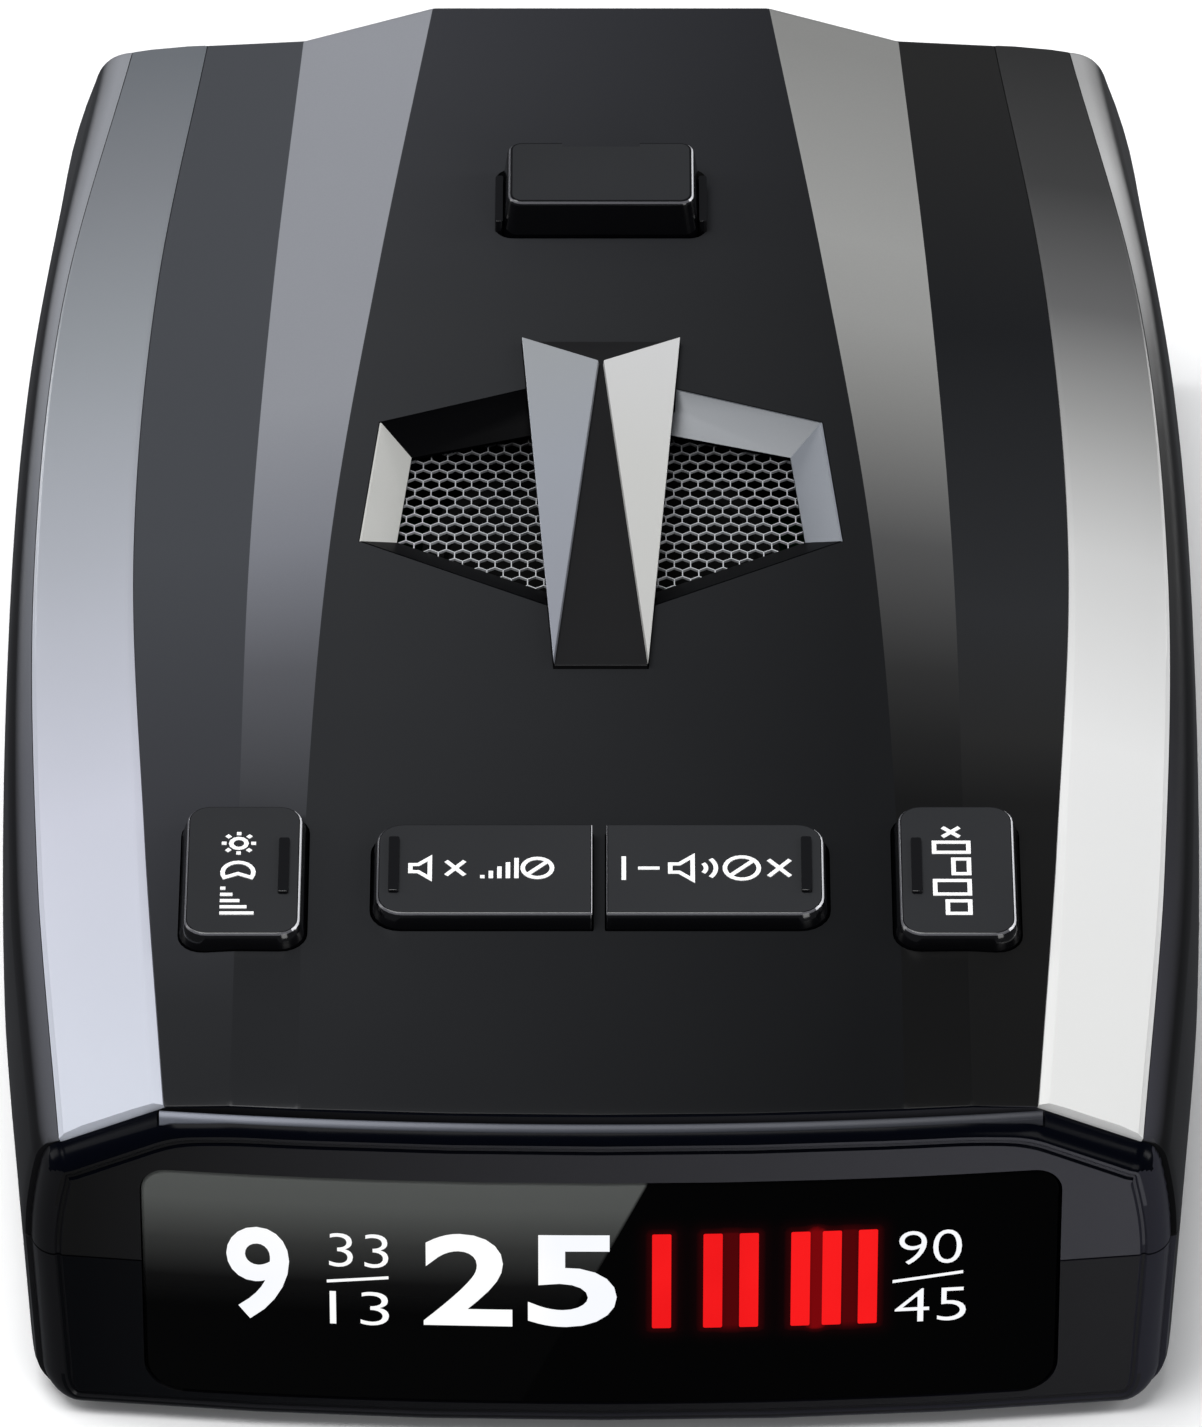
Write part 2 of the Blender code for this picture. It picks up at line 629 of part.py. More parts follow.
def make_speaker():
    on_top = {"at": (0.0, 0.0, top_z(0.0)), "tilt": TOP_TILT}
    outer = mirrored_outline(RECESS_OUTER)
    inner = mirrored_outline(RECESS_INNER)
    rim = [(x * 0.975, 3.5 + (y - 3.5) * 0.96) for x, y in outer]
    rings = [
        [(x, y, 0.0) for x, y in outer],
        [(x, y, 0.0) for x, y in rim],
        [(x, y, -RECESS_DEPTH) for x, y in inner],
        [(x, y, -RECESS_DEPTH) for x, y in outer],
    ]
    bezel = add_object("speaker_bezel", loft(rings, closed=True), "silver_paint", **on_top)
    notch = grown(BRIDGE_PLAN, GAP)
    combine(bezel, helper("bezel_notch", prism(notch, BRIDGE_BASE - GAP, 3.0), **on_top))
    grille = [(x * 0.975, 3.5 + (y - 3.5) * 0.97) for x, y in outer]
    low = -(RECESS_DEPTH + GAP + GRILLE_THICK)
    add_object("speaker_grille", prism(grille, low, low + GRILLE_THICK), "steel", **on_top)

    low_ring = [(x, y, BRIDGE_BASE) for x, y in BRIDGE_PLAN]
    high_ring = [(x, y, BRIDGE_RIM) for x, y in BRIDGE_PLAN]
    apex = (0.0, BRIDGE_APEX_Y, BRIDGE_RIM + BRIDGE_RISE)
    points = low_ring + high_ring + [apex]
    faces = [(0, 1, 2, 3), (0, 1, 5, 4), (1, 2, 6, 5), (2, 3, 7, 6), (3, 0, 4, 7)]
    faces += [(4, 5, 8), (5, 6, 8), (6, 7, 8), (7, 4, 8)]
    add_object("grille_bridge", (points, faces), "black_plastic", **on_top)
    for side, word in ((-1, "left"), (1, "right")):
        corner = Vector((side * BRIDGE_PLAN[1][0], BRIDGE_PLAN[1][1], BRIDGE_RIM))
        tip = Vector((side * BRIDGE_PLAN[2][0], BRIDGE_PLAN[2][1], BRIDGE_RIM))
        peak = Vector(apex)
        normal = (peak - corner).cross(tip - corner).normalized()
        normal = normal if normal.z > 0 else -normal
        inwards = (peak + Vector((side * 0.12, 0.0, 0.0)), corner, tip)
        rings = [[tuple(p + normal * rise) for p in inwards] for rise in (GAP, GAP + BLADE_THICK)]
        add_object(word + "_blade", loft(rings), "silver_paint", **on_top)

    top = top_z(SPEAKER_Y - SPEAKER_RADIUS) - 3.4 - GAP
    low = top - SPEAKER_DEPTH
    basket = [(0.05, low), (MAGNET_RADIUS + 0.6, low), (SPEAKER_RADIUS - 1.0, top - 1.6)]
    basket += [(SPEAKER_RADIUS, top - 1.4), (SPEAKER_RADIUS, top), (SPEAKER_RADIUS - 1.4, top)]
    cone = [(SPEAKER_RADIUS - 1.6, top - 0.5), (2.5, top - 2.3), (0.05, top - 1.6)]
    place = (0.0, SPEAKER_Y, 0.0)
    add_object("speaker_basket", turned(basket + cone), "paper_cone", at=place, round_edges=True)
    high = low - GAP
    magnet = [(0.05, high - MAGNET_THICK), (MAGNET_RADIUS, high - MAGNET_THICK)]
    magnet += [(MAGNET_RADIUS, high), (0.05, high)]
    add_object("speaker_magnet", turned(magnet), "zinc", at=place, round_edges=True)


# ---------------------------------------------------------------- bracket release


def make_spring(low, high):
    """Compression spring under the yoke, as a helix with its wire inside the given heights."""
    curve = bpy.data.curves.new("release_spring", "CURVE")
    curve.dimensions = "3D"
    curve.bevel_depth = SPRING_WIRE * MM / 2
    curve.bevel_resolution = 1
    curve.use_fill_caps = True
    steps = 12 * SPRING_TURNS
    spline = curve.splines.new("POLY")
    spline.points.add(steps)
    rise = high - low - SPRING_WIRE
    for k in range(steps + 1):
        angle = 2 * math.pi * SPRING_TURNS * k / steps
        x, y = SPRING_RADIUS * math.cos(angle), RELEASE_Y + SPRING_RADIUS * math.sin(angle)
        spline.points[k].co = (x * MM, y * MM, (low + SPRING_WIRE / 2 + rise * k / steps) * MM, 1.0)
    curve.materials.append(make_finish("steel"))
    spring = bpy.data.objects.new("release_spring", curve)
    bpy.context.scene.collection.objects.link(spring)


def make_release():
    place = (0.0, RELEASE_Y, top_z(RELEASE_Y))
    flange_high = -(WALL + GAP)
    flange_low = flange_high - 0.8
    outline = rounded_rectangle(RELEASE_SIZE[0], RELEASE_SIZE[1], 0.9)
    crown = rounded_rectangle(RELEASE_SIZE[0] - 0.8, RELEASE_SIZE[1] - 0.8, 0.5)
    rings = [[(x, y, flange_low) for x, y in outline]]
    rings.append([(x, y, RELEASE_PROUD - 0.4) for x, y in outline])
    rings.append([(x, y, RELEASE_PROUD) for x, y in crown])
    button = add_object("release_button", loft(rings), "gloss_black", at=place, tilt=TOP_TILT)
    flange = box((-10.6, -2.6, flange_low), (10.6, 2.6, flange_high))
    combine(button, helper("release_flange", flange, at=place, tilt=TOP_TILT), "UNION")
    notch = box((-2.5, RELEASE_SIZE[1] / 2 - 0.7, RELEASE_PROUD - 0.5), (2.5, 8.0, 6.0))
    combine(button, helper("release_notch", notch, at=place, tilt=TOP_TILT))

    make_latch(place[2] + flange_low - 0.8)
    make_spring(SPRING_SEAT_Z + GAP, YOKE_Z[0] - GAP)
    make_sleeve()


def make_latch(leg_high):
    """A yoke that hangs under the flange, round the sleeve, with a tooth through the sleeve's floor."""
    low, high = YOKE_Z
    place = {"at": (0.0, RELEASE_Y, 0.0)}
    bar = box((-YOKE_HALF_X, -1.5, low), (YOKE_HALF_X, 1.5, high))
    yoke = add_object("release_latch", bar, "black_plastic", **place)
    leg_middle = YOKE_HALF_X - LEG_WIDTH / 2
    for side, word in ((-1, "left"), (1, "right")):
        x = side * leg_middle
        leg = box((x - LEG_WIDTH / 2, -1.5, low + 0.5), (x + LEG_WIDTH / 2, 1.5, leg_high))
        combine(yoke, helper(word + "_leg", leg, **place), "UNION")
    tooth = box((-1.4, -1.0, high - 0.7), (1.4, 1.0, SLOT_Z[0] + 1.2))
    combine(yoke, helper("latch_tooth", tooth, **place), "UNION")


def make_sleeve():
    """The pocket that the windscreen bracket slides into."""
    low, high = SLOT_Z[0] - SLEEVE_WALL, SLOT_Z[1] + SLEEVE_WALL
    half = SLOT_HALF_X + SLEEVE_WALL
    block = box((-half, SLEEVE_Y[0], low), (half, SLEEVE_Y[1], high))
    sleeve = add_object("bracket_sleeve", block, "black_plastic")
    cavity = box((-SLOT_HALF_X, SLEEVE_Y[0] + 1.2, SLOT_Z[0]), (SLOT_HALF_X, 60.0, SLOT_Z[1]))
    combine(sleeve, helper("sleeve_cavity", cavity))
    tooth_hole = box((-1.9, RELEASE_Y - 1.5, low - 1.0), (1.9, RELEASE_Y + 1.5, SLOT_Z[0] + 0.5))
    combine(sleeve, helper("tooth_hole", tooth_hole))


# ---------------------------------------------------------------- electronics


def rear_window_block(margin, near_y, far_y):
    middle = (0.0, sum(REAR_WINDOW_Z) / 2)
    height = REAR_WINDOW_Z[1] - REAR_WINDOW_Z[0]
    outline = rounded_rectangle(2 * (REAR_WINDOW_HALF_X + margin), height + 2 * margin, 2.0, middle)
    return upright(prism(outline, near_y, far_y))


def make_antenna():
    add_object("rear_window", rear_window_block(0.0, REAR_Y - 1.8, REAR_Y - 0.1), "lens_black")

    def frame(y, half_x, low, high):
        return [(-half_x, y, low), (half_x, y, low), (half_x, y, high), (-half_x, y, high)]

    outside = [frame(20.0, 8.0, 4.2, 13.2), frame(35.5, 8.0, 4.2, 13.2), frame(50.6, 17.0, 3.4, 17.6)]
    inside = [frame(50.6, 16.0, 4.4, 16.6), frame(35.5, 6.8, 5.4, 12.0), frame(24.0, 6.8, 5.4, 12.0)]
    add_object("horn_antenna", loft(outside + inside), "zinc")
    add_object("rf_board", box((-13.0, 18.2, 3.6), (13.0, 19.4, 13.6)), "board_green")
    board = box((-23.4, -43.5, MAIN_BOARD_Z), (23.4, 17.6, MAIN_BOARD_Z + BOARD_THICK))
    add_object("main_board", board, "board_green")
    sensor = box((18.6, 44.0, 6.0), (23.4, 47.5, 11.5))
    add_object("laser_sensor", sensor, "switch_grey")
    lens = upright(prism(circle(2.4, 16, (21.0, 8.8)), 47.9, 50.0))
    add_object("laser_lens", lens, "lens_black", round_edges=True)


def make_sockets():
    block = box((-32.4, JACK_Y - 4.0, 3.0), (-24.2, JACK_Y + 4.0, 10.2))
    jack = add_object("power_jack", block, "black_plastic")
    nose = sideways(prism(circle(1.9, 16, (JACK_Y, JACK_Z)), -34.6, -31.0))
    combine(jack, helper("jack_nose", nose), "UNION")
    bore = sideways(prism(circle(0.9, 12, (JACK_Y, JACK_Z)), -40.0, -27.0))
    combine(jack, helper("jack_bore", bore))

    x, y, z = WHEEL_CENTRE
    rim = []
    for k in range(2 * WHEEL_TEETH):
        angle = math.pi * k / WHEEL_TEETH
        radius = WHEEL_RADIUS if k % 2 else WHEEL_RADIUS - 0.35
        rim.append((radius * math.cos(angle), radius * math.sin(angle)))
    half = WHEEL_THICK / 2
    wheel = add_object("volume_wheel", prism(rim, -half, half), "black_plastic", at=WHEEL_CENTRE)
    hub = prism(circle(WHEEL_BORE, 16), -half - 1.0, half + 1.0)
    combine(wheel, helper("wheel_bore", hub, at=WHEEL_CENTRE))
    high = z - half - GAP
    case = box((x - 4.2, y - 4.2, 2.5), (x + 3.0, y + 4.2, high))
    pot = add_object("volume_pot", case, "switch_grey")
    shaft = prism(circle(WHEEL_BORE - 0.35, 12, (x, y)), high - 0.8, z + half - 0.2)
    combine(pot, helper("pot_shaft", shaft), "UNION")


def make_fasteners():
    head_low, head_high = SCREW_HEAD_Z
    profile = [(0.05, head_low), (SCREW_HEAD_RADIUS - 0.4, head_low), (SCREW_HEAD_RADIUS, head_low + 0.5)]
    profile += [(SCREW_HEAD_RADIUS, head_high), (SCREW_SHANK_RADIUS, head_high)]
    profile += [(SCREW_SHANK_RADIUS, SCREW_TIP_Z[0]), (0.05, SCREW_TIP_Z[1])]
    for number, (x, y) in enumerate(SCREW_PLACES, 1):
        name = f"housing_screw_{number}"
        add_object(name, turned(profile, 16), "steel", at=(x, y, 0.0), round_edges=True)
    outline = rounded_rectangle(LABEL_SIZE[0], LABEL_SIZE[1], 1.7)
    add_object("rating_label", prism(outline, 0.1, 0.3), "label_foil")


def main():
    clear_scene()
    make_top_cover()
    make_bottom_cover()
    make_trims()
    make_display()
    make_keys()
    make_speaker()
    make_release()
    make_antenna()
    make_sockets()
    make_fasteners()


main()
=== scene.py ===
"""The looks of the windscreen radar detector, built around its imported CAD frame.

The frame is in metres. Lengths in this file are millimetres and become metres when a mesh is built.
X points right, Y from the display end to the windscreen end, Z up.
"""

import math

import bmesh
import bpy
import numpy as np
from mathutils import Matrix, Vector


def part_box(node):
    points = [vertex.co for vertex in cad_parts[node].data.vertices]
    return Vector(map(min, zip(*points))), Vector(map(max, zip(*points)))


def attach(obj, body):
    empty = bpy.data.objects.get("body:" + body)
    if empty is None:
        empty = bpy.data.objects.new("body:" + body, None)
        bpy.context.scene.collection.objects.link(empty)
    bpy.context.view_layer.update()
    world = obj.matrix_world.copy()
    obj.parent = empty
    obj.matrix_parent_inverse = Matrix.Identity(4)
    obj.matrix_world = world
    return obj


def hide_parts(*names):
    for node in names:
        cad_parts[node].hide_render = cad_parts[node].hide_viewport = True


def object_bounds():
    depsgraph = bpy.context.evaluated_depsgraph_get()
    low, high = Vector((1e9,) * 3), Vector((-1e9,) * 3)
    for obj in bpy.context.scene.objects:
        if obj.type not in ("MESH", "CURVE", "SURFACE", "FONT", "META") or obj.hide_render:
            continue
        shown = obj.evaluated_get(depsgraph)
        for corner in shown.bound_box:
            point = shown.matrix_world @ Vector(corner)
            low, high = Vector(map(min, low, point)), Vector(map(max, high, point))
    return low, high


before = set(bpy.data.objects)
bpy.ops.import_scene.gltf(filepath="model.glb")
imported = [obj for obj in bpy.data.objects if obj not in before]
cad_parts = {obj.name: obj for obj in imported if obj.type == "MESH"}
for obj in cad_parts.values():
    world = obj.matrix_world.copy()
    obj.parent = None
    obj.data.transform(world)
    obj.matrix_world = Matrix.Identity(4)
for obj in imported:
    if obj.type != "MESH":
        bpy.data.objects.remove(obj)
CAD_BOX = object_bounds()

MM = 0.001
HOUSING = "housing"

# ---------------------------------------------------------------- driving dimensions

# The body's surface, as in the CAD: half widths and drops between its edges at five stations
LENGTH = (CAD_BOX[1][1] - CAD_BOX[0][1]) / MM
FRONT_Y = -LENGTH / 2
REAR_Y = LENGTH / 2
PARTING_Z = 11.5
PARTING_GAP = 0.12
FRONT_TOP_Z = 21.85
TOP_TILT = math.radians(3.7)
STATION_Y = (-53.0, -27.0, 0.0, 27.0, 53.0)
PLATEAU_X = (17.3, 17.3, 16.25, 13.65, 10.6)
FOOT_X = (21.2, 21.2, 21.1, 20.2, 18.8)
SHOULDER_X = (24.9, 26.7, 28.1, 27.4, 24.9)
STRIPE_X = (30.9, 33.0, 34.1, 33.2, 29.6)
BELLY_X = (33.2, 35.2, 36.05, 36.0, 34.4)
FOOT_DROP = (0.0, 0.0, 0.8, 1.65, 2.5)
SHOULDER_DROP = (0.3, 0.3, 1.0, 1.95, 2.85)
STRIPE_DROP = (3.0, 2.4, 1.7, 1.1, 0.5)
ROUND_X = (1.6, 1.7, 1.35, 1.4, 2.35)
ROUND_DROP = (1.6, 1.7, 1.6, 1.6, 1.9)
SIDE_LEAN = 0.4
BASE_CORNER = 2.6
EDGE_SOFTNESS = 0.22
WALL = 2.2

FACE_RADIUS = 250.0
FACE_FADE_Y = -30.0
LIP_STEP = (0.5, 0.12)  # the frame of the display stands in from the sides by this much
LIP_ROUND = (1.25, 0.95)  # and rounds off by this much more, sideways and downwards
LIP_DEPTH = 1.75
REAR_ROUND = (0.8, 0.6)
REAR_DEPTH = 0.8
CREASE = 0.14  # depth and half width of the groove round the display panel
PANEL_HALF_X = 31.2
HOOD_HALF_X = 25.2
HOOD_GROOVE = (0.55, 1.62)  # how far behind the face the groove for the hood's line starts and ends
PANEL_SOFTNESS = 1.3
FRONT_MIDDLE_Z = 10.5
REAR_MIDDLE_Z = 13.0

WINDOW_HALF_X = 26.4
WINDOW_Z = (1.95, 18.3)
WINDOW_CORNERS = (1.6, 2.2)  # radii at the top and the bottom
LENS_THICK = 1.9
BAR_CENTRES_X = (3.48, 6.42, 8.49, 11.45, 13.25, 15.32)
BAR_SIZE = (1.1, 6.9)
BAR_MIDDLE_Z = 11.1

TRIM_THICK = 0.8
TRIM_FRONT_Y = -51.4
TRIM_REAR_Y = 52.7

RECESS_OUTER = ((0.0, 16.1), (13.42, 11.2), (14.5, -0.15), (0.0, -7.9))
RECESS_INNER = ((0.0, 13.2), (11.5, 9.75), (12.3, 1.65), (0.0, -4.75))
RECESS_MIDDLE_Y = 3.5
RECESS_DEPTH = 1.6
BRIDGE_PLAN = ((-4.77, 18.8), (4.77, 18.8), (2.75, -12.0), (-2.75, -12.0))
BRIDGE_APEX_Y = 15.4
BRIDGE_RIM = 0.2
BRIDGE_RISE = 0.9
BRIDGE_BASE = -0.75
BLADE_THICK = 0.12
CELL_PITCH = 0.98
CELL_WIRE = 0.06

KEY_PROUD = 1.0
KEY_FLANGE = 1.0  # how far the flange under a key reaches past it, towards the front and the rear
KEY_FLANGE_DEPTH = 3.4
KEY_FLANGE_THICK = 0.9
KEY_ROUND = 0.12
KEY_STEM_HALF = 1.5
RELEASE_Y = 32.7
RELEASE_SIZE = (12.2, 6.6)
RELEASE_PROUD = 2.5
RELEASE_ROUND = 0.28
RELEASE_FLANGE = (10.6, 2.6)
SLOT_HALF_X = 6.7
SLOT_Z = (19.0, 21.4)
REAR_WINDOW_HALF_X = 22.0
REAR_WINDOW_Z = (3.9, 15.4)
JACK_PLACE = (-20.0, 6.5)  # y, z on the left side
WHEEL_CENTRE = (29.1, -14.0, 6.3)
WHEEL_RADIUS = 6.8
WHEEL_THICK = 2.4
WHEEL_NOTCH = 0.28
WHEEL_BORE = 1.6
SCREW_PLACES = ((-28.6, -37.5), (28.6, -37.5), (-28.0, 40.0), (28.0, 40.0))
LABEL_SIZE = (42.0, 26.0)

# ---------------------------------------------------------------- camera and studio

PHOTO_SIZE = (1202, 1427)
VIEW_ELEVATION = math.radians(36.5)
VIEW_DISTANCE = 780.0
VIEW_TARGET = Vector((0.0, -2.31, 14.0))
FOCAL_PIXELS = 12909.0
SENSOR = 36.0


def aim(obj, target):
    """Turns a camera or a light at obj's place towards target."""
    obj.rotation_euler = (Vector(target) - obj.location).to_track_quat("-Z", "Y").to_euler()


def make_camera():
    data = bpy.data.cameras.new("camera")
    data.sensor_width = SENSOR
    data.lens = FOCAL_PIXELS * SENSOR / max(PHOTO_SIZE)
    data.clip_end = 10.0
    camera = bpy.data.objects.new("camera", data)
    bpy.context.scene.collection.objects.link(camera)
    back = Vector((0.0, -math.cos(VIEW_ELEVATION), math.sin(VIEW_ELEVATION)))
    camera.location = (VIEW_TARGET + back * VIEW_DISTANCE) * MM
    aim(camera, VIEW_TARGET * MM)
    bpy.context.scene.camera = camera


def softbox(name, place, target, size, power):
    """A rectangular studio light. Place, target and size are in metres, power in watts."""
    data = bpy.data.lights.new(name, "AREA")
    data.shape = "RECTANGLE"
    data.size, data.size_y = size
    data.energy = power
    light = bpy.data.objects.new(name, data)
    bpy.context.scene.collection.objects.link(light)
    light.location = place
    light.visible_camera = False
    aim(light, target)


def make_studio():
    softbox("light_top", (-0.25, -0.10, 1.05), (0.0, 0.0, 0.0), (0.8, 0.8), 12.5)
    softbox("light_left", (-0.85, 0.15, 0.40), (0.0, 0.0, 0.01), (0.30, 0.60), 2.0)
    softbox("light_right", (0.85, 0.10, 0.40), (0.0, 0.0, 0.01), (0.20, 0.50), 2.0)
    softbox("light_front", (0.50, -0.80, 0.35), (0.0, 0.0, 0.01), (0.40, 0.40), 2.0)
    softbox("strip_left", (-0.60, 0.80, 0.22), (0.0, 0.0, 0.02), (0.10, 0.20), 0.35)
    softbox("strip_right", (0.55, 0.80, 0.16), (0.0, 0.0, 0.02), (0.08, 0.20), 0.35)
    world = bpy.data.worlds.new("studio")
    world.use_nodes = True
    background = world.node_tree.nodes["Background"]
    background.inputs["Color"].default_value = (0.9, 0.93, 1.0, 1.0)
    background.inputs["Strength"].default_value = 0.16
    bpy.context.scene.world = world
    bpy.context.scene.view_settings.view_transform = "Standard"


# ---------------------------------------------------------------- finishes


def linear(value):
    """An sRGB value from 0 to 255 as linear light from 0 to 1."""
    share = value / 255.0
    return share / 12.92 if share <= 0.04045 else ((share + 0.055) / 1.055) ** 2.4


def colour(*rgb):
    """sRGB values from 0 to 255, or one for a grey, as a linear colour."""
    if len(rgb) == 1:
        rgb = rgb * 3
    return tuple(linear(v) for v in rgb) + (1.0,)


def add_node(material, kind, links=(), **settings):
    """A shader node with sockets set by name, and links given as (from socket, input name)."""
    node = material.node_tree.nodes.new("ShaderNode" + kind)
    for key, value in settings.items():
        if hasattr(node, key):
            setattr(node, key, value)
        else:
            node.inputs[key.replace("_", " ")].default_value = value
    for source, target in links:
        material.node_tree.links.new(source, node.inputs[target])
    return node


def fill_ramp(ramp, stops):
    """Puts (position, colour) stops on a colour ramp."""
    elements = ramp.color_ramp.elements
    while len(elements) > 1:
        elements.remove(elements[-1])
    elements[0].position, elements[0].color = stops[0]
    for position, shade in stops[1:]:
        elements.new(position).color = shade


def map_range(material, source, span, onto=(0.0, 1.0)):
    """The value of source carried from one span to another, and held at its ends."""
    node = add_node(material, "MapRange", [(source, "Value")])
    node.inputs["From Min"].default_value, node.inputs["From Max"].default_value = span
    node.inputs["To Min"].default_value, node.inputs["To Max"].default_value = onto
    return node.outputs["Result"]


def ramp_along(material, where, axis, stops):
    """A colour ramp whose stops are each a place in millimetres along axis, then an sRGB colour."""
    low, high = stops[0][0], stops[-1][0]
    split = add_node(material, "SeparateXYZ", [(where, "Vector")])
    share = map_range(material, split.outputs[axis], (low * MM, high * MM))
    ramp = add_node(material, "ValToRGB", [(share, "Fac")])
    fill_ramp(ramp, [((place - low) / (high - low), colour(*tone)) for place, *tone in stops])
    return ramp.outputs["Color"]


# Normal heights over which the painted highlight on upward faces blends in, and the half width of the
# painted shade towards the right
PAINTED_HIGHLIGHT_NORMAL_Z = (0.62, 0.97)
PAINTED_SHADE_HALF_X = 15.0


def finish(
    name, shade, roughness, metallic=0.0, grain=0.10, bump=0.04, mottle=0.05, coat=0.0,
    specular=0.5, axis="Y", painted_highlight=None, painted_shade_right=None,
):
    """A moulded or painted surface with fine grain, cloudy tone and uneven gloss.

    shade is one sRGB colour, or a list of stops for ramp_along. grain is the size of the surface's
    grain in millimetres. painted_highlight is a second list of stops, a painted highlight for where
    the surface turns upwards. painted_shade_right is how far a painted shade has darkened tone and
    shine at the far right.
    """
    material = bpy.data.materials.new(name)
    material.use_nodes = True
    links = material.node_tree.links
    shader = material.node_tree.nodes["Principled BSDF"]
    shader.inputs["Metallic"].default_value = metallic
    shader.inputs["Coat Weight"].default_value = coat
    shader.inputs["Coat Roughness"].default_value = 0.06
    shader.inputs["Specular IOR Level"].default_value = specular
    where = add_node(material, "TexCoord").outputs["Object"]
    fine = add_node(material, "TexNoise", [(where, "Vector")], Scale=1.0 / (grain * MM), Detail=2.0)
    broad = add_node(material, "TexNoise", [(where, "Vector")], Scale=70.0, Detail=3.0)
    if isinstance(shade, list):
        tone = ramp_along(material, where, axis, shade)
    else:
        clouds = add_node(material, "ValToRGB", [(broad.outputs["Fac"], "Fac")])
        even = colour(*shade)[:3]
        dark, light = (tuple(c * (1 + sign * mottle) for c in even) + (1.0,) for sign in (-1, 1))
        fill_ramp(clouds, [(0.3, dark), (0.7, light)])
        tone = clouds.outputs["Color"]
    # Painted highlight: faces that turn upwards take a second, lighter ramp of stops.
    if painted_highlight:
        normal = add_node(material, "NewGeometry").outputs["Normal"]
        facing = add_node(material, "SeparateXYZ", [(normal, "Vector")])
        blend = add_node(material, "Mix", data_type="RGBA")
        links.new(map_range(material, facing.outputs["Z"], PAINTED_HIGHLIGHT_NORMAL_Z), blend.inputs[0])
        links.new(tone, blend.inputs[6])
        links.new(ramp_along(material, where, axis, painted_highlight), blend.inputs[7])
        tone = blend.outputs[2]
    factor = map_range(material, fine.outputs["Fac"], (0.0, 1.0), (1.0 - mottle, 1.0 + mottle))
    # Painted shade: tone and shine are darkened towards the right.
    if painted_shade_right:
        split = add_node(material, "SeparateXYZ", [(where, "Vector")])
        across = (-PAINTED_SHADE_HALF_X * MM, PAINTED_SHADE_HALF_X * MM)
        share = map_range(material, split.outputs["X"], across, (1.0, painted_shade_right))
        scaled = add_node(material, "Math", [(factor, 0), (share, 1)], operation="MULTIPLY")
        factor = scaled.outputs["Value"]
        shine = map_range(material, share, (0.0, 1.0), (0.0, specular))
        links.new(shine, shader.inputs["Specular IOR Level"])
    flecked = add_node(material, "VectorMath", [(tone, 0), (factor, 1)], operation="MULTIPLY")
    spread = (max(0.02, roughness * 0.85), min(1.0, roughness * 1.15))
    gloss = map_range(material, broad.outputs["Fac"], (0.0, 1.0), spread)
    relief = add_node(
        material, "Bump", [(fine.outputs["Fac"], "Height")], Strength=bump, Distance=0.2 * grain * MM
    )
    links.new(flecked.outputs["Vector"], shader.inputs["Base Color"])
    links.new(gloss, shader.inputs["Roughness"])
    links.new(relief.outputs["Normal"], shader.inputs["Normal"])
    return material


def lit_finish(name, shade, edge_shade):
    """Back-lit print or acrylic, a little uneven where the lamps behind it are further off."""
    material = finish(name, (12, 12, 12), 0.35, specular=0.1)
    shader = material.node_tree.nodes["Principled BSDF"]
    where = add_node(material, "TexCoord").outputs["Object"]
    patchy = add_node(material, "TexNoise", [(where, "Vector")], Scale=160.0, Detail=1.0)
    ramp = add_node(material, "ValToRGB", [(patchy.outputs["Fac"], "Fac")])
    fill_ramp(ramp, [(0.30, colour(*edge_shade)), (0.55, colour(*shade))])
    material.node_tree.links.new(ramp.outputs["Color"], shader.inputs["Emission Color"])
    shader.inputs["Emission Strength"].default_value = 1.0
    return material


FINISHES = {}
LEFT, RIGHT = -1, 1

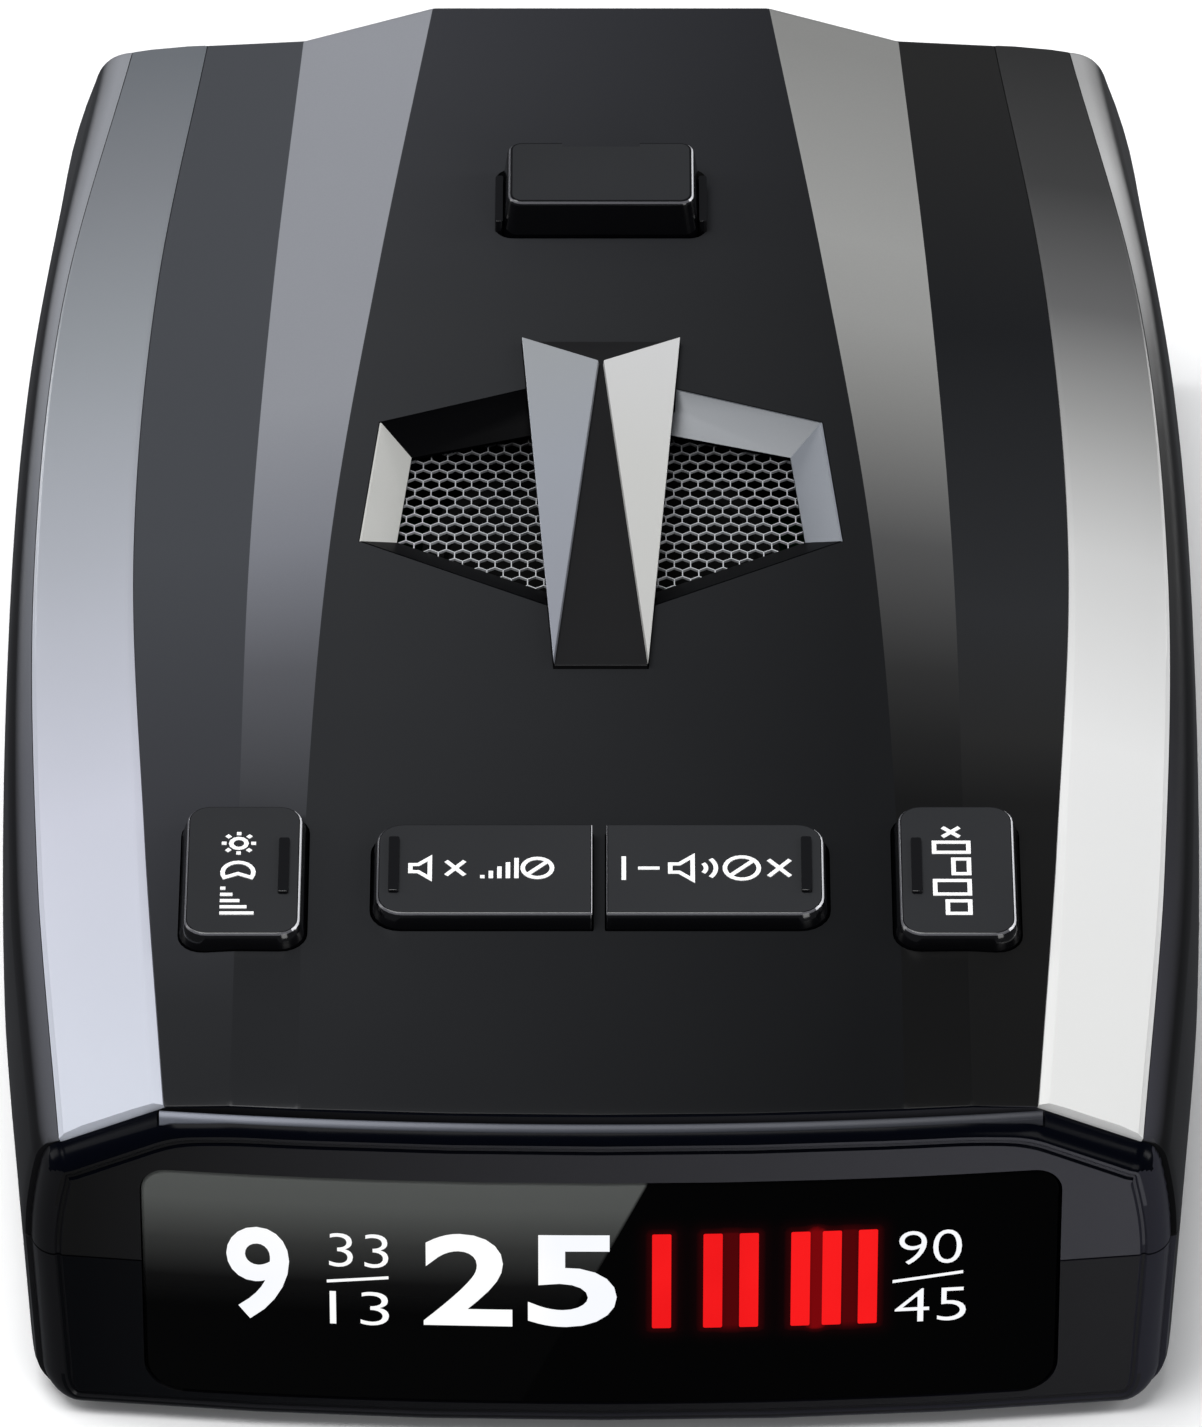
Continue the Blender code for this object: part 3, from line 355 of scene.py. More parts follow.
# Each row: a finish's key, its material's name, roughness, metallic, shade and further settings
FINISH_TABLE = (
    # The top: satin black with painted shade, darker towards the display end and towards the right.
    ("plateau", "satin_black_top_painted_shade", 0.42, 0.0, [(-53, 24, 25, 27), (-24, 33, 34, 36), (22, 43, 44, 46),
     (53, 49, 50, 54)], dict(specular=0.15, painted_shade_right=0.45)),
    # Inner facets: silver paint with a painted reflection, bright towards the windscreen end and fading to
    # black towards the display, each side with its own fade.
    (("facet", LEFT), "silver_facet_painted_reflection_left", 0.34, 0.25, [(-30, 29, 30, 32), (-25.7, 31, 32, 34),
     (-25.3, 52, 53, 56), (-12, 83, 84, 89), (0, 120, 122, 129), (14, 141, 143, 149), (50, 145, 147, 153)],
     dict(specular=0.3)),
    (("facet", RIGHT), "silver_facet_painted_reflection_right", 0.34, 0.25, [(-30, 12), (-24, 16), (-18, 30), (-12, 44),
     (0, 80), (14, 131, 131, 129), (22, 150, 150, 148), (30, 157, 157, 155), (50, 139, 139, 137)],
     dict(specular=0.2)),
    # Shoulders: painted light and shade, the left lighter than the right, each with its own ramp along the
    # body.
    (("shoulder", LEFT), "satin_black_shoulder_painted_light_left", 0.42, 0.0, [(-53, 24, 25, 27), (-42, 30, 31, 33),
     (-36, 38, 39, 42), (-24, 47, 48, 52), (0, 59, 61, 65), (50, 63, 65, 69)], dict(specular=0.15)),
    (("shoulder", RIGHT), "satin_black_shoulder_painted_light_right", 0.42, 0.0, [(-48, 14), (-24, 18), (-18, 31),
     (-6, 35, 36, 38), (22, 22, 23, 25), (50, 32)], dict(specular=0.1)),
    # Outer stripes: silver with a painted reflection, bright towards the display end and darker towards the
    # windscreen end, each side with its own ramp.
    (("stripe", LEFT), "silver_stripe_painted_reflection_left", 0.32, 0.2, [(-50, 203, 207, 218), (-24, 196, 198, 210),
     (0, 168, 171, 179), (22, 141, 145, 150), (38, 121, 124, 129), (52, 104, 108, 113)],
     dict(grain=0.06, mottle=0.02, coat=0.1)),
    (("stripe", RIGHT), "silver_stripe_painted_reflection_right", 0.32, 0.2, [(-50, 231, 231, 229), (-18, 231, 231, 230),
     (0, 205, 205, 204), (14, 153, 153, 152), (25, 98), (38, 58), (52, 42)],
     dict(grain=0.06, mottle=0.02, coat=0.1)),
    # Sides: painted shade along the body, darker towards the display end, and a painted highlight on the
    # rounding where it turns upwards.
    (("side", LEFT), "satin_side_painted_light_left", 0.38, 0.0, [(-50, 9, 9, 11), (-18, 12, 12, 14), (22, 24, 24, 26),
     (50, 36, 37, 39)],
     dict(specular=0.10, painted_highlight=[(-50, 78, 79, 84), (-18, 84, 85, 91), (6, 102, 104, 109),
                                (30, 132, 134, 139), (50, 130, 132, 137)])),
    (("side", RIGHT), "satin_side_painted_light_right", 0.38, 0.0, [(-50, 7, 7, 8), (-12, 10, 10, 11), (22, 24),
     (50, 48)],
     dict(specular=0.10, painted_highlight=[(-50, 54, 54, 60), (-12, 38, 38, 40), (6, 46), (14, 60), (22, 98),
                                (30, 150), (40, 172), (50, 150)])),
    ("rear", "satin_rear", 0.40, 0.0, (34, 35, 37), dict(specular=0.2)),
    # Display frame: painted light, darker at the left and lighter at the right.
    ("lip", "satin_black_frame_painted_light", 0.30, 0.0, [(-33, 12, 12, 14), (33, 34, 34, 42)],
     dict(specular=0.2, axis="X")),
    ("hood", "gloss_black_hood", 0.20, 0.0, (2, 3, 8), dict(specular=0.05, bump=0.02)),
    # Display panel: painted light, darker at the left than the right, the lower half painted darker than
    # the upper.
    ("face_upper", "satin_panel_upper_painted_light", 0.40, 0.0, [(-30, 16, 16, 16), (30, 60, 60, 65)],
     dict(specular=0.1, axis="X")),
    ("face_lower", "satin_panel_lower_painted_light", 0.40, 0.0, [(-30, 3, 4, 7), (30, 34, 34, 36)],
     dict(specular=0.1, axis="X")),
    ("base", "textured_black_base", 0.62, 0.0, (32, 32, 34), dict(grain=0.35, bump=0.35)),
    ("inside", "moulded_black_inside", 0.60, 0.0, (22, 22, 24), dict(grain=0.2, bump=0.15)),
    # Hood line: grey with a painted reflection, lightest at the left and darker towards the right.
    ("line", "grey_hood_line_painted_reflection", 0.34, 0.2, [(-25, 104, 107, 116), (-5, 66, 68, 75), (25, 48, 49, 54)],
     dict(grain=0.06, specular=0.2, axis="X")),
    ("key_top", "satin_key_top", 0.34, 0.0, (36, 37, 39), dict(grain=0.08, specular=0.35)),
    ("key_wall", "gloss_key_wall", 0.12, 0.0, (6, 6, 8), dict(grain=0.08, bump=0.02)),
    # Key edges: painted highlights, brightest on the right edge and darkest on the far edge.
    (("key_edge", "left"), "key_edge_painted_highlight_left", 0.25, 0.0, (84, 84, 88), dict(grain=0.06)),
    (("key_edge", "right"), "key_edge_painted_highlight_right", 0.25, 0.0, (215, 215, 219), dict(grain=0.06)),
    (("key_edge", "near"), "key_edge_painted_highlight_near", 0.25, 0.0, (84, 84, 88), dict(grain=0.06)),
    (("key_edge", "far"), "key_edge_painted_highlight_far", 0.25, 0.0, (44, 44, 48), dict(grain=0.06)),
    ("print", "white_key_print", 0.45, 0.0, (246, 246, 246), dict(grain=0.05, mottle=0.02)),
    # Speaker recess walls: one silver in lit and shaded copies, a painted highlight, mid and dim tones, and
    # a painted black shade.
    ("bezel_light", "bezel_silver_painted_highlight", 0.32, 0.25, (198, 198, 194), dict(mottle=0.03)),
    ("bezel_mid", "bezel_silver_painted_mid_tone", 0.32, 0.25, (130, 134, 141), dict(mottle=0.03)),
    ("bezel_dim", "bezel_silver_painted_dim_tone", 0.32, 0.25, (84, 87, 91), dict(mottle=0.03)),
    ("bezel_black", "bezel_black", 0.40, 0.0, (1, 1, 2), dict(specular=0.03)),
    # Blades: one satin silver in two painted tones, the left a painted shade and the right a painted
    # highlight.
    (("blade", LEFT), "blade_satin_painted_light_left", 0.30, 0.3, [(-10, 148, 151, 160), (6, 156, 160, 168),
     (19, 158, 161, 164)], dict(grain=0.06, mottle=0.02)),
    (("blade", RIGHT), "blade_satin_painted_light_right", 0.30, 0.3, [(-10, 203, 203, 200), (6, 209, 209, 206),
     (19, 216, 216, 216)], dict(grain=0.06, mottle=0.02)),
    ("bridge", "bridge_black", 0.36, 0.0, (24, 24, 25), dict(specular=0.15)),
    # Grille wires: painted shade, bright towards the display end and dark at the far end, under the
    # recess's far wall.
    ("wire", "grille_wire_painted_shade", 0.30, 0.3, [(-5, 225, 227, 230), (8, 190, 192, 196), (12, 34)],
     dict(grain=0.05, mottle=0.15)),
    ("steel", "screw_steel", 0.30, 1.0, (150, 151, 153), dict(grain=0.08, bump=0.1)),
    ("zinc", "cast_zinc", 0.45, 1.0, (150, 150, 151), dict(grain=0.30, bump=0.4)),
    ("board", "solder_mask", 0.35, 0.0, (10, 82, 40), dict(grain=0.5, bump=0.2, mottle=0.15)),
    ("switch", "switch_grey", 0.50, 0.0, (118, 118, 121), dict(grain=0.15)),
    ("cone", "pressed_cone", 0.85, 0.0, (9, 9, 9), dict(grain=0.25, bump=0.5, specular=0.05)),
    ("foil", "label_foil", 0.38, 0.6, (165, 166, 168), dict(grain=0.15, bump=0.1)),
    ("filter", "infrared_filter", 0.06, 0.0, (10, 4, 6), dict(grain=0.1, bump=0.01, coat=0.5)),
    ("rubber", "wheel_black", 0.50, 0.0, (26, 26, 28), dict(grain=0.12, bump=0.2)),
    ("jack", "socket_black", 0.35, 0.0, (18, 18, 19), dict(grain=0.12, bump=0.1)),
    ("contact", "contact_plate", 0.25, 1.0, (190, 176, 140), dict(grain=0.05)),
)


def make_finishes():
    for key, name, roughness, metallic, shade, settings in FINISH_TABLE:
        FINISHES[key] = finish(name, shade, roughness, metallic, **settings)
    FINISHES["white_light"] = lit_finish("lit_white", (255, 255, 255), (248, 250, 255))
    FINISHES["red_light"] = lit_finish("lit_red", (250, 20, 22), (240, 14, 18))
    FINISHES["lens"] = make_lens_finish()


# The lens's painted reflection: a grey sheen over the upper left, cut off by a slanted edge on its right
PAINTED_REFLECTION_LOW_Z = 8.5
PAINTED_REFLECTION_SLANT = 0.45  # how far the painted reflection's right edge leans to the right for each millimetre up
PAINTED_REFLECTION_EDGE_X = -5.5


def make_lens_finish():
    """Smoked acrylic: black, with a painted grey reflection over its upper left half, and a painted red
    glow round the bars.
    """
    material = finish("smoked_acrylic_painted_light", (4, 4, 4), 0.05, grain=0.2, bump=0.0, specular=0.08)
    shader = material.node_tree.nodes["Principled BSDF"]
    links = material.node_tree.links
    where = add_node(material, "TexCoord").outputs["Object"]
    split = add_node(material, "SeparateXYZ", [(where, "Vector")])
    rise = map_range(material, split.outputs["Z"], (PAINTED_REFLECTION_LOW_Z * MM, WINDOW_Z[1] * MM))
    painted_reflection = add_node(material, "ValToRGB", [(rise, "Fac")])
    painted_reflection_stops = [(0.0, colour(2)), (0.22, colour(14)), (0.5, colour(50, 51, 50))]
    fill_ramp(painted_reflection, painted_reflection_stops + [(0.8, colour(80, 82, 80)), (1.0, colour(84, 86, 84))])
    ends = [(split.outputs["Z"], 0), (split.outputs["X"], 2)]
    slant = add_node(material, "Math", ends, operation="MULTIPLY_ADD")
    slant.inputs[1].default_value = -PAINTED_REFLECTION_SLANT
    edge = map_range(material, slant.outputs["Value"], (PAINTED_REFLECTION_EDGE_X * MM, (PAINTED_REFLECTION_EDGE_X - 0.2) * MM))
    shown = add_node(
        material, "VectorMath", [(painted_reflection.outputs["Color"], 0), (edge, 1)], operation="MULTIPLY"
    )
    links.new(shown.outputs["Vector"], shader.inputs["Base Color"])
    # Painted glow: red emission on the lens round the bars, from a stored strength at each point.
    painted_bar_glow = add_node(material, "Attribute", attribute_name="painted_bar_glow")
    glow = add_node(material, "ValToRGB", [(painted_bar_glow.outputs["Fac"], "Fac")])
    glow_stops = [(0.0, colour(0)), (0.5, colour(12, 0, 1)), (0.8, colour(48, 1, 3))]
    fill_ramp(glow, glow_stops + [(1.0, colour(120, 4, 8))])
    links.new(glow.outputs["Color"], shader.inputs["Emission Color"])
    shader.inputs["Emission Strength"].default_value = 1.0
    return material


# ---------------------------------------------------------------- meshes


def piece(name, mesh_data, finishes, body=HOUSING, stands_for=(), pick=None, smooth=35.0,
          bevel=0.0, place=None, cuts=(), overlapping=False):
    """One visible piece from (points, faces) in millimetres.

    finishes is a finish's key or a list of keys, and pick(centre, normal) chooses from the list.
    place moves the points first. cuts are shapes to cut away.
    """
    obj = raw_object(name, mesh_data, place)
    if cuts:
        carve(obj, cuts, overlapping)
    if bevel:
        bm = bmesh.new()
        bm.from_mesh(obj.data)
        edges = [e for e in bm.edges if e.is_manifold and e.calc_face_angle(0.0) > math.radians(25.0)]
        bmesh.ops.bevel(
            bm, geom=edges, offset=bevel * MM, segments=2, profile=0.5, affect="EDGES", clamp_overlap=True
        )
        bm.to_mesh(obj.data)
        bm.free()
    dress_up(obj, finishes, pick, smooth)
    return enlist(obj, body, stands_for)


def raw_object(name, mesh_data, place=None):
    """A closed mesh facing outwards, as an object at the origin."""
    points, faces = mesh_data
    if place is not None:
        points = [place @ Vector(point) for point in points]
    mesh = bpy.data.meshes.new(name)
    mesh.from_pydata([tuple(c * MM for c in point) for point in points], [], faces)
    bm = bmesh.new()
    bm.from_mesh(mesh)
    bmesh.ops.recalc_face_normals(bm, faces=bm.faces)
    bent = [face for face in bm.faces if len(face.verts) > 3 and not is_flat(face)]
    bmesh.ops.triangulate(bm, faces=bent)
    bm.to_mesh(mesh)
    bm.free()
    obj = bpy.data.objects.new(name, mesh)
    bpy.context.scene.collection.objects.link(obj)
    return obj


def is_flat(face):
    corner = face.verts[0].co
    return all(abs((v.co - corner).dot(face.normal)) < 1e-7 for v in face.verts)


def dress_up(obj, finishes, pick=None, smooth=35.0):
    keys = finishes if isinstance(finishes, list) else [finishes]
    for key in keys:
        obj.data.materials.append(FINISHES[key])
    if pick:
        for face in obj.data.polygons:
            face.material_index = keys.index(pick(face.center / MM, face.normal))
    obj.data.shade_smooth()
    obj.data.set_sharp_from_angle(angle=math.radians(smooth))
    weighted = obj.modifiers.new("weighted_normals", "WEIGHTED_NORMAL")
    weighted.keep_sharp = True


def enlist(obj, body, stands_for=()):
    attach(obj, body)
    if stands_for:
        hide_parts(*stands_for)
    return obj


def carve(target, cutter_meshes, overlapping=False):
    """Cuts all of these shapes out of target at once."""
    cutter = raw_object("cutter", joined(cutter_meshes))
    modifier = target.modifiers.new("carve", "BOOLEAN")
    modifier.operation = "DIFFERENCE"
    modifier.solver = "EXACT"
    modifier.use_self = overlapping
    modifier.object = cutter
    graph = bpy.context.evaluated_depsgraph_get()
    carved = bpy.data.meshes.new_from_object(target.evaluated_get(graph))
    target.modifiers.clear()
    target.data = carved
    bpy.data.objects.remove(cutter)


def joined(meshes):
    points, faces = [], []
    for more_points, more_faces in meshes:
        first = len(points)
        points += [tuple(p) for p in more_points]
        faces += [tuple(first + i for i in face) for face in more_faces]
    return points, faces


def moved(mesh_data, place):
    points, faces = mesh_data
    return [place @ Vector(point) for point in points], faces


def loft(rings, closed=False):
    """Faces between equal rings of points, with a flat face on each end unless the loft is closed."""
    size = len(rings[0])
    points = [point for ring in rings for point in ring]
    faces = []
    steps = len(rings) if closed else len(rings) - 1
    for k in range(steps):
        here = k * size
        there = ((k + 1) % len(rings)) * size
        for i in range(size):
            j = (i + 1) % size
            faces.append((here + i, here + j, there + j, there + i))
    if not closed:
        faces.append(tuple(range(size))[::-1])
        faces.append(tuple(range(len(points) - size, len(points))))
    return points, faces


def prism(outline, low, high):
    return loft([[(x, y, z) for x, y in outline] for z in (low, high)])


def box(low, high):
    corners = ((low[0], low[1]), (high[0], low[1]), (high[0], high[1]), (low[0], high[1]))
    return prism(corners, low[2], high[2])


def plate(x_span, y_span, radii, steps=6):
    """A rectangle's outline with its own radius at each corner, from far right, anticlockwise."""
    corners = ((1, 1), (0, 1), (0, 0), (1, 0))
    points = []
    for quarter, (right, far) in enumerate(corners):
        radius = radii[quarter]
        middle_x = x_span[right] + (-radius if right else radius)
        middle_y = y_span[far] + (-radius if far else radius)
        for k in range(steps + 1):
            angle = (quarter + k / steps) * math.pi / 2
            points.append((middle_x + radius * math.cos(angle), middle_y + radius * math.sin(angle)))
    return points


def centred_plate(size_x, size_y, radius, centre=(0.0, 0.0), steps=6):
    spans = [(middle - size / 2, middle + size / 2) for middle, size in zip(centre, (size_x, size_y))]
    return plate(*spans, (radius,) * 4, steps)


def circle(radius, steps=32, centre=(0.0, 0.0)):
    angles = [2 * math.pi * k / steps for k in range(steps)]
    return [(centre[0] + radius * math.cos(a), centre[1] + radius * math.sin(a)) for a in angles]


def upright(mesh_data):
    """The same shape with its extrusion turned from Z to Y: the outline's Y becomes Z."""
    points, faces = mesh_data
    return [(x, z, y) for x, y, z in points], faces


def sideways(mesh_data):
    """The same shape with its extrusion turned from Z to X: its outline is (y, z)."""
    points, faces = mesh_data
    return [(z, x, y) for x, y, z in points], faces


def mirrored_outline(half):
    """A closed outline from its right half, whose first and last points lie on the middle line."""
    return list(half) + [(-x, y) for x, y in half[-2:0:-1]]


# ---------------------------------------------------------------- body surface


def along(values):
    """Smooth curve through one value at each station."""
    slopes = np.gradient(values, STATION_Y)

    def at(y):
        k = int(np.clip(np.searchsorted(STATION_Y, y) - 1, 0, len(values) - 2))
        span = STATION_Y[k + 1] - STATION_Y[k]
        t = (y - STATION_Y[k]) / span
        start = (1 + 2 * t) * (1 - t) ** 2 * values[k] + t * (1 - t) ** 2 * span * slopes[k]
        end = t * t * (3 - 2 * t) * values[k + 1] + t * t * (t - 1) * span * slopes[k + 1]
        return start + end

    return at


plateau_x, foot_x, shoulder_x = along(PLATEAU_X), along(FOOT_X), along(SHOULDER_X)
stripe_x, belly_x = along(STRIPE_X), along(BELLY_X)
foot_drop, shoulder_drop, stripe_drop = along(FOOT_DROP), along(SHOULDER_DROP), along(STRIPE_DROP)
round_x, round_drop = along(ROUND_X), along(ROUND_DROP)


def top_z(y):
    return FRONT_TOP_Z + math.tan(TOP_TILT) * (y - FRONT_Y)


def on_top(x, y):
    """Places a shape on the sloping top at (x, y), with its own Z square to the slope."""
    return Matrix.Translation((x, y, top_z(y))) @ Matrix.Rotation(TOP_TILT, 4, "X")


def stripe_edges(y):
    """The two edges of the outer stripe at y, each as (x, z)."""
    inner = (shoulder_x(y), top_z(y) - shoulder_drop(y))
    return inner, (stripe_x(y), inner[1] - stripe_drop(y))


def stripe_frame(y):
    """The stripe's inner and outer edge at y, with the directions across it and out of it."""
    inner, outer = (Vector(edge) for edge in stripe_edges(y))
    run = (outer - inner).normalized()
    return inner, outer, run, Vector((-run.y, run.x))


CORNERS = (2, 3, 4, 5)  # the plateau, foot and stripe edges in the half section


def curve(start, bend, end, steps):
    """Points that follow start on the curve towards bend and round to end."""
    points = []
    for k in range(1, steps + 1):
        t = k / steps
        weights = ((1 - t) ** 2, 2 * t * (1 - t), t * t)
        points.append(tuple(sum(w * p[i] for w, p in zip(weights, (start, bend, end))) for i in (0, 1)))
    return points


def outer_side(y, outer, belly):
    """The rounding outside the stripe, and the side below it down to the parting line."""
    slope = stripe_drop(y) / (stripe_x(y) - shoulder_x(y))
    foot = (outer[0] + round_x(y), outer[1] - round_drop(y))
    lead = 0.8 * round_x(y)
    rounding = curve(outer, (outer[0] + lead, outer[1] - 0.5 * slope * lead), foot, 10)
    bend = (belly, foot[1] - 0.55 * (foot[1] - PARTING_Z))
    return rounding + curve(foot, bend, (belly, PARTING_Z), 7)


def section(y, hollow=False):
    """Closed cross-section of the body at y, as (x, z) points."""
    top = top_z(y)
    inner, outer = stripe_edges(y)
    belly = belly_x(y)
    plateau = plateau_x(y)
    half = [(0.0, top), (plateau / 2, top), (plateau, top), (foot_x(y), top - foot_drop(y))]
    half += [inner, outer]
    if hollow:
        bend = (belly, outer[1] - 0.85 * (belly - outer[0]))
        half += curve(outer, bend, (belly, PARTING_Z), 5)
    else:
        half += outer_side(y, outer, belly)
    side = belly - SIDE_LEAN
    for k in range(9):
        angle = k * math.pi / 16
        x = side - BASE_CORNER * (1 - math.cos(angle))
        half.append((x, BASE_CORNER * (1 - math.sin(angle))))
    half += [(20.0, 0.0), (10.0, 0.0), (0.0, 0.0)]
    return mirrored_outline(half)


def drawn_in(outline, in_x, in_z):
    """The outline moved inwards, by its own amount sideways and up and down."""
    points = [Vector(p) for p in outline]
    moved_points = []
    for i, point in enumerate(points):
        before = (point - points[i - 1]).normalized()
        after = (points[(i + 1) % len(points)] - point).normalized()
        normals = [Vector((-edge.y, edge.x)) for edge in (before, after)]
        miter = (normals[0] + normals[1]) / (1 + normals[0].dot(normals[1]))
        moved_points.append((point.x - in_x * miter.x, point.y - in_z * miter.y))
    return moved_points


def softened(outline, softness, steps=4):
    """The outline with a short curve in place of each of the body's crisp corners."""
    corners = set(CORNERS) | {len(outline) - i for i in CORNERS}
    soft = []
    for i, point in enumerate(outline):
        if i not in corners:
            soft.append(point)
            continue
        here, before, after = (Vector(outline[k % len(outline)]) for k in (i, i - 1, i + 1))
        reach = min(softness, 0.45 * (before - here).length, 0.45 * (after - here).length)
        start = here + (before - here).normalized() * reach
        end = here + (after - here).normalized() * reach
        for k in range(steps + 1):
            t = k / steps
            soft.append(tuple((1 - t) ** 2 * start + 2 * t * (1 - t) * here + t * t * end))
    return soft


def face_sag(x):
    """How far the arc of the display face lies behind its middle at x."""
    return x * x / (2 * FACE_RADIUS)


def fade(y):
    return min(1.0, max(0.0, (FACE_FADE_Y - y) / (FACE_FADE_Y - FRONT_Y)))


def rounding(distance, depth):
    """Share of a rounded edge's size by which it has drawn in at this distance from the end."""
    return 1 - math.sqrt(1 - (1 - min(1.0, distance / depth)) ** 2)


def bent(ring, y):
    """The (x, z) ring at y, carried back with the arc of the face."""
    return [(x, y + fade(y) * face_sag(x), z) for x, z in ring]


def end_cap(ring, y, middle_z, scales):
    caps = []
    for scale in scales:
        inner = [(x * scale, middle_z + (z - middle_z) * scale) for x, z in ring]
        caps.append(bent(inner, y))
    return caps


CAP_SCALES = (0.8, 0.6, 0.4, 0.2, 0.01)


def face_ring(in_x, in_z, distance, softness):
    """The display frame's outline at this distance behind the face, drawn in from the body's section."""
    y = FRONT_Y + distance
    return softened(drawn_in(section(y), in_x, in_z), softness)


def fine_body():
    """The body's outer surface, with soft edges, a raised display frame and a groove round its panel."""
    full = [step + extra for step, extra in zip(LIP_STEP, LIP_ROUND)]
    groove = ((3.2 * CREASE, 0.0), (2.2 * CREASE, CREASE), (CREASE, CREASE), (0.0, 0.0))
    flat = face_ring(full[0] + groove[0][0], full[1] + groove[0][0], 0.0, PANEL_SOFTNESS)
    rings = end_cap(flat, FRONT_Y, FRONT_MIDDLE_Z, CAP_SCALES)[::-1]
    for further, depth in groove:
        outline = face_ring(full[0] + further, full[1] + further, 0.0, PANEL_SOFTNESS)
        rings.append(bent(outline, FRONT_Y + depth))
    for k in range(1, 10):
        distance = LIP_DEPTH * (1 - math.cos(k * math.pi / 18))
        share = rounding(distance, LIP_DEPTH)
        ins = [step + extra * share for step, extra in zip(LIP_STEP, LIP_ROUND)]
        softness = EDGE_SOFTNESS + (PANEL_SOFTNESS - EDGE_SOFTNESS) * share
        rings.append(bent(face_ring(*ins, distance, softness), FRONT_Y + distance))
    run_out = ((LIP_DEPTH + 0.02, 0.6), (LIP_DEPTH + 0.1, 0.35), (2.3, 0.16), (3.0, 0.05), (4.2, 0.0))
    for distance, share in run_out:
        ins = [step * share for step in LIP_STEP]
        rings.append(bent(face_ring(*ins, distance, EDGE_SOFTNESS), FRONT_Y + distance))
    for y in np.arange(FRONT_Y + 6.0, REAR_Y - 1.6, 1.9):
        rings.append(bent(softened(section(y), EDGE_SOFTNESS), y))
    for k in range(7):
        distance = REAR_DEPTH * (1 - math.sin(k * math.pi / 12))
        share = rounding(distance, REAR_DEPTH)
        outline = drawn_in(section(REAR_Y - distance), REAR_ROUND[0] * share, REAR_ROUND[1] * share)
        rings.append(bent(softened(outline, EDGE_SOFTNESS), REAR_Y - distance))
    last = softened(drawn_in(section(REAR_Y), *REAR_ROUND), EDGE_SOFTNESS)
    return loft(rings + end_cap(last, REAR_Y, REAR_MIDDLE_Z, CAP_SCALES))


def hollow():
    """The space inside the walls."""
    ys = (FRONT_Y + WALL, -48.0, -38.0, -27.0, -14.0, 0.0, 13.0, 26.0, 37.0, 46.0, REAR_Y - WALL)
    outlines = [drawn_in(section(y, hollow=True), WALL, WALL) for y in ys]
    rings = [bent(outline, y) for outline, y in zip(outlines, ys)]
    scales = (0.66, 0.33, 0.01)
    front = end_cap(outlines[0], ys[0], FRONT_MIDDLE_Z, scales)[::-1]
    return loft(front + rings + end_cap(outlines[-1], ys[-1], REAR_MIDDLE_Z, scales))


def arc_band(half_x, near, far, low, high, steps=40):
    """An upright band that follows the display face's arc, from near to far behind the face."""
    xs = np.linspace(-half_x, half_x, steps + 1)
    front = [(x, FRONT_Y + near + face_sag(x)) for x in xs]
    back = [(x, FRONT_Y + far + face_sag(x)) for x in xs[::-1]]
    return prism(front + back, low, high)


def window_outline(margin):
    """The display window's rounded outline, as (x, z), grown by margin."""
    top, bottom = (radius + margin for radius in WINDOW_CORNERS)
    x_span = (-WINDOW_HALF_X - margin, WINDOW_HALF_X + margin)
    return plate(x_span, (WINDOW_Z[0] - margin, WINDOW_Z[1] + margin), (top, top, bottom, bottom), 10)


def window_prism(margin, near_y, far_y):
    return upright(prism(window_outline(margin), near_y, far_y))


def rear_window_prism(margin, near_y, far_y):
    middle = (0.0, sum(REAR_WINDOW_Z) / 2)
    height = REAR_WINDOW_Z[1] - REAR_WINDOW_Z[0]
    outline = centred_plate(2 * (REAR_WINDOW_HALF_X + margin), height + 2 * margin, 2.0, middle, 8)
    return upright(prism(outline, near_y, far_y))


def recess_outline(scale_x, scale_y):
    """The speaker recess's outer edge, scaled about the recess's middle."""
    outline = mirrored_outline(RECESS_OUTER)
    return [(x * scale_x, RECESS_MIDDLE_Y + (y - RECESS_MIDDLE_Y) * scale_y) for x, y in outline]


def on_side(side, corners, y):
    """A ring from (x, z) vectors for the right side, carried over to this side at y."""
    return [(side * c.x, y + fade(y) * face_sag(c.x), c.y) for c in corners]


def stripe_seat(side, near_y, far_y):
    """The channel that one side stripe lies in."""
    rings = []
    for y in np.linspace(near_y, far_y, 45):
        inner, outer, run, up = stripe_frame(y)
        corners = (
            inner - run * 0.05 + up * 1.5, outer + run * 0.05 + up * 1.5,
            outer + run * 0.05 - up * (TRIM_THICK + 0.1), inner - run * 0.05 - up * (TRIM_THICK + 0.1),
        )
        rings.append(on_side(side, corners, y))
    return loft(rings)


# ---------------------------------------------------------------- covers


KEYS = {}  # key name: its CAD outline on the top as (x span, y span), in millimetres


def read_keys():
    """Each key's outline on the top, from its CAD node's box without the flange under it."""
    for name in ("dim", "mute", "imute", "city"):
        low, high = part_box(name + "_button")
        x_span = (low.x / MM, high.x / MM)
        y_middle = (low.y + high.y) / 2 / MM
        half_y = (high.y - low.y) / 2 / MM - KEY_FLANGE
        KEYS[name] = (x_span, (y_middle - half_y, y_middle + half_y))


# Key name: how far its wall flares at the left and right, and its left and right corner radii
KEY_FORMS = {
    "dim": (0.36, 0.42, 1.3, 1.3),
    "mute": (0.36, 0.0, 1.5, 0.12),
    "imute": (0.0, 0.36, 0.12, 1.5),
    "city": (0.42, 0.36, 1.3, 1.3),
}
KEY_GAP = 0.08


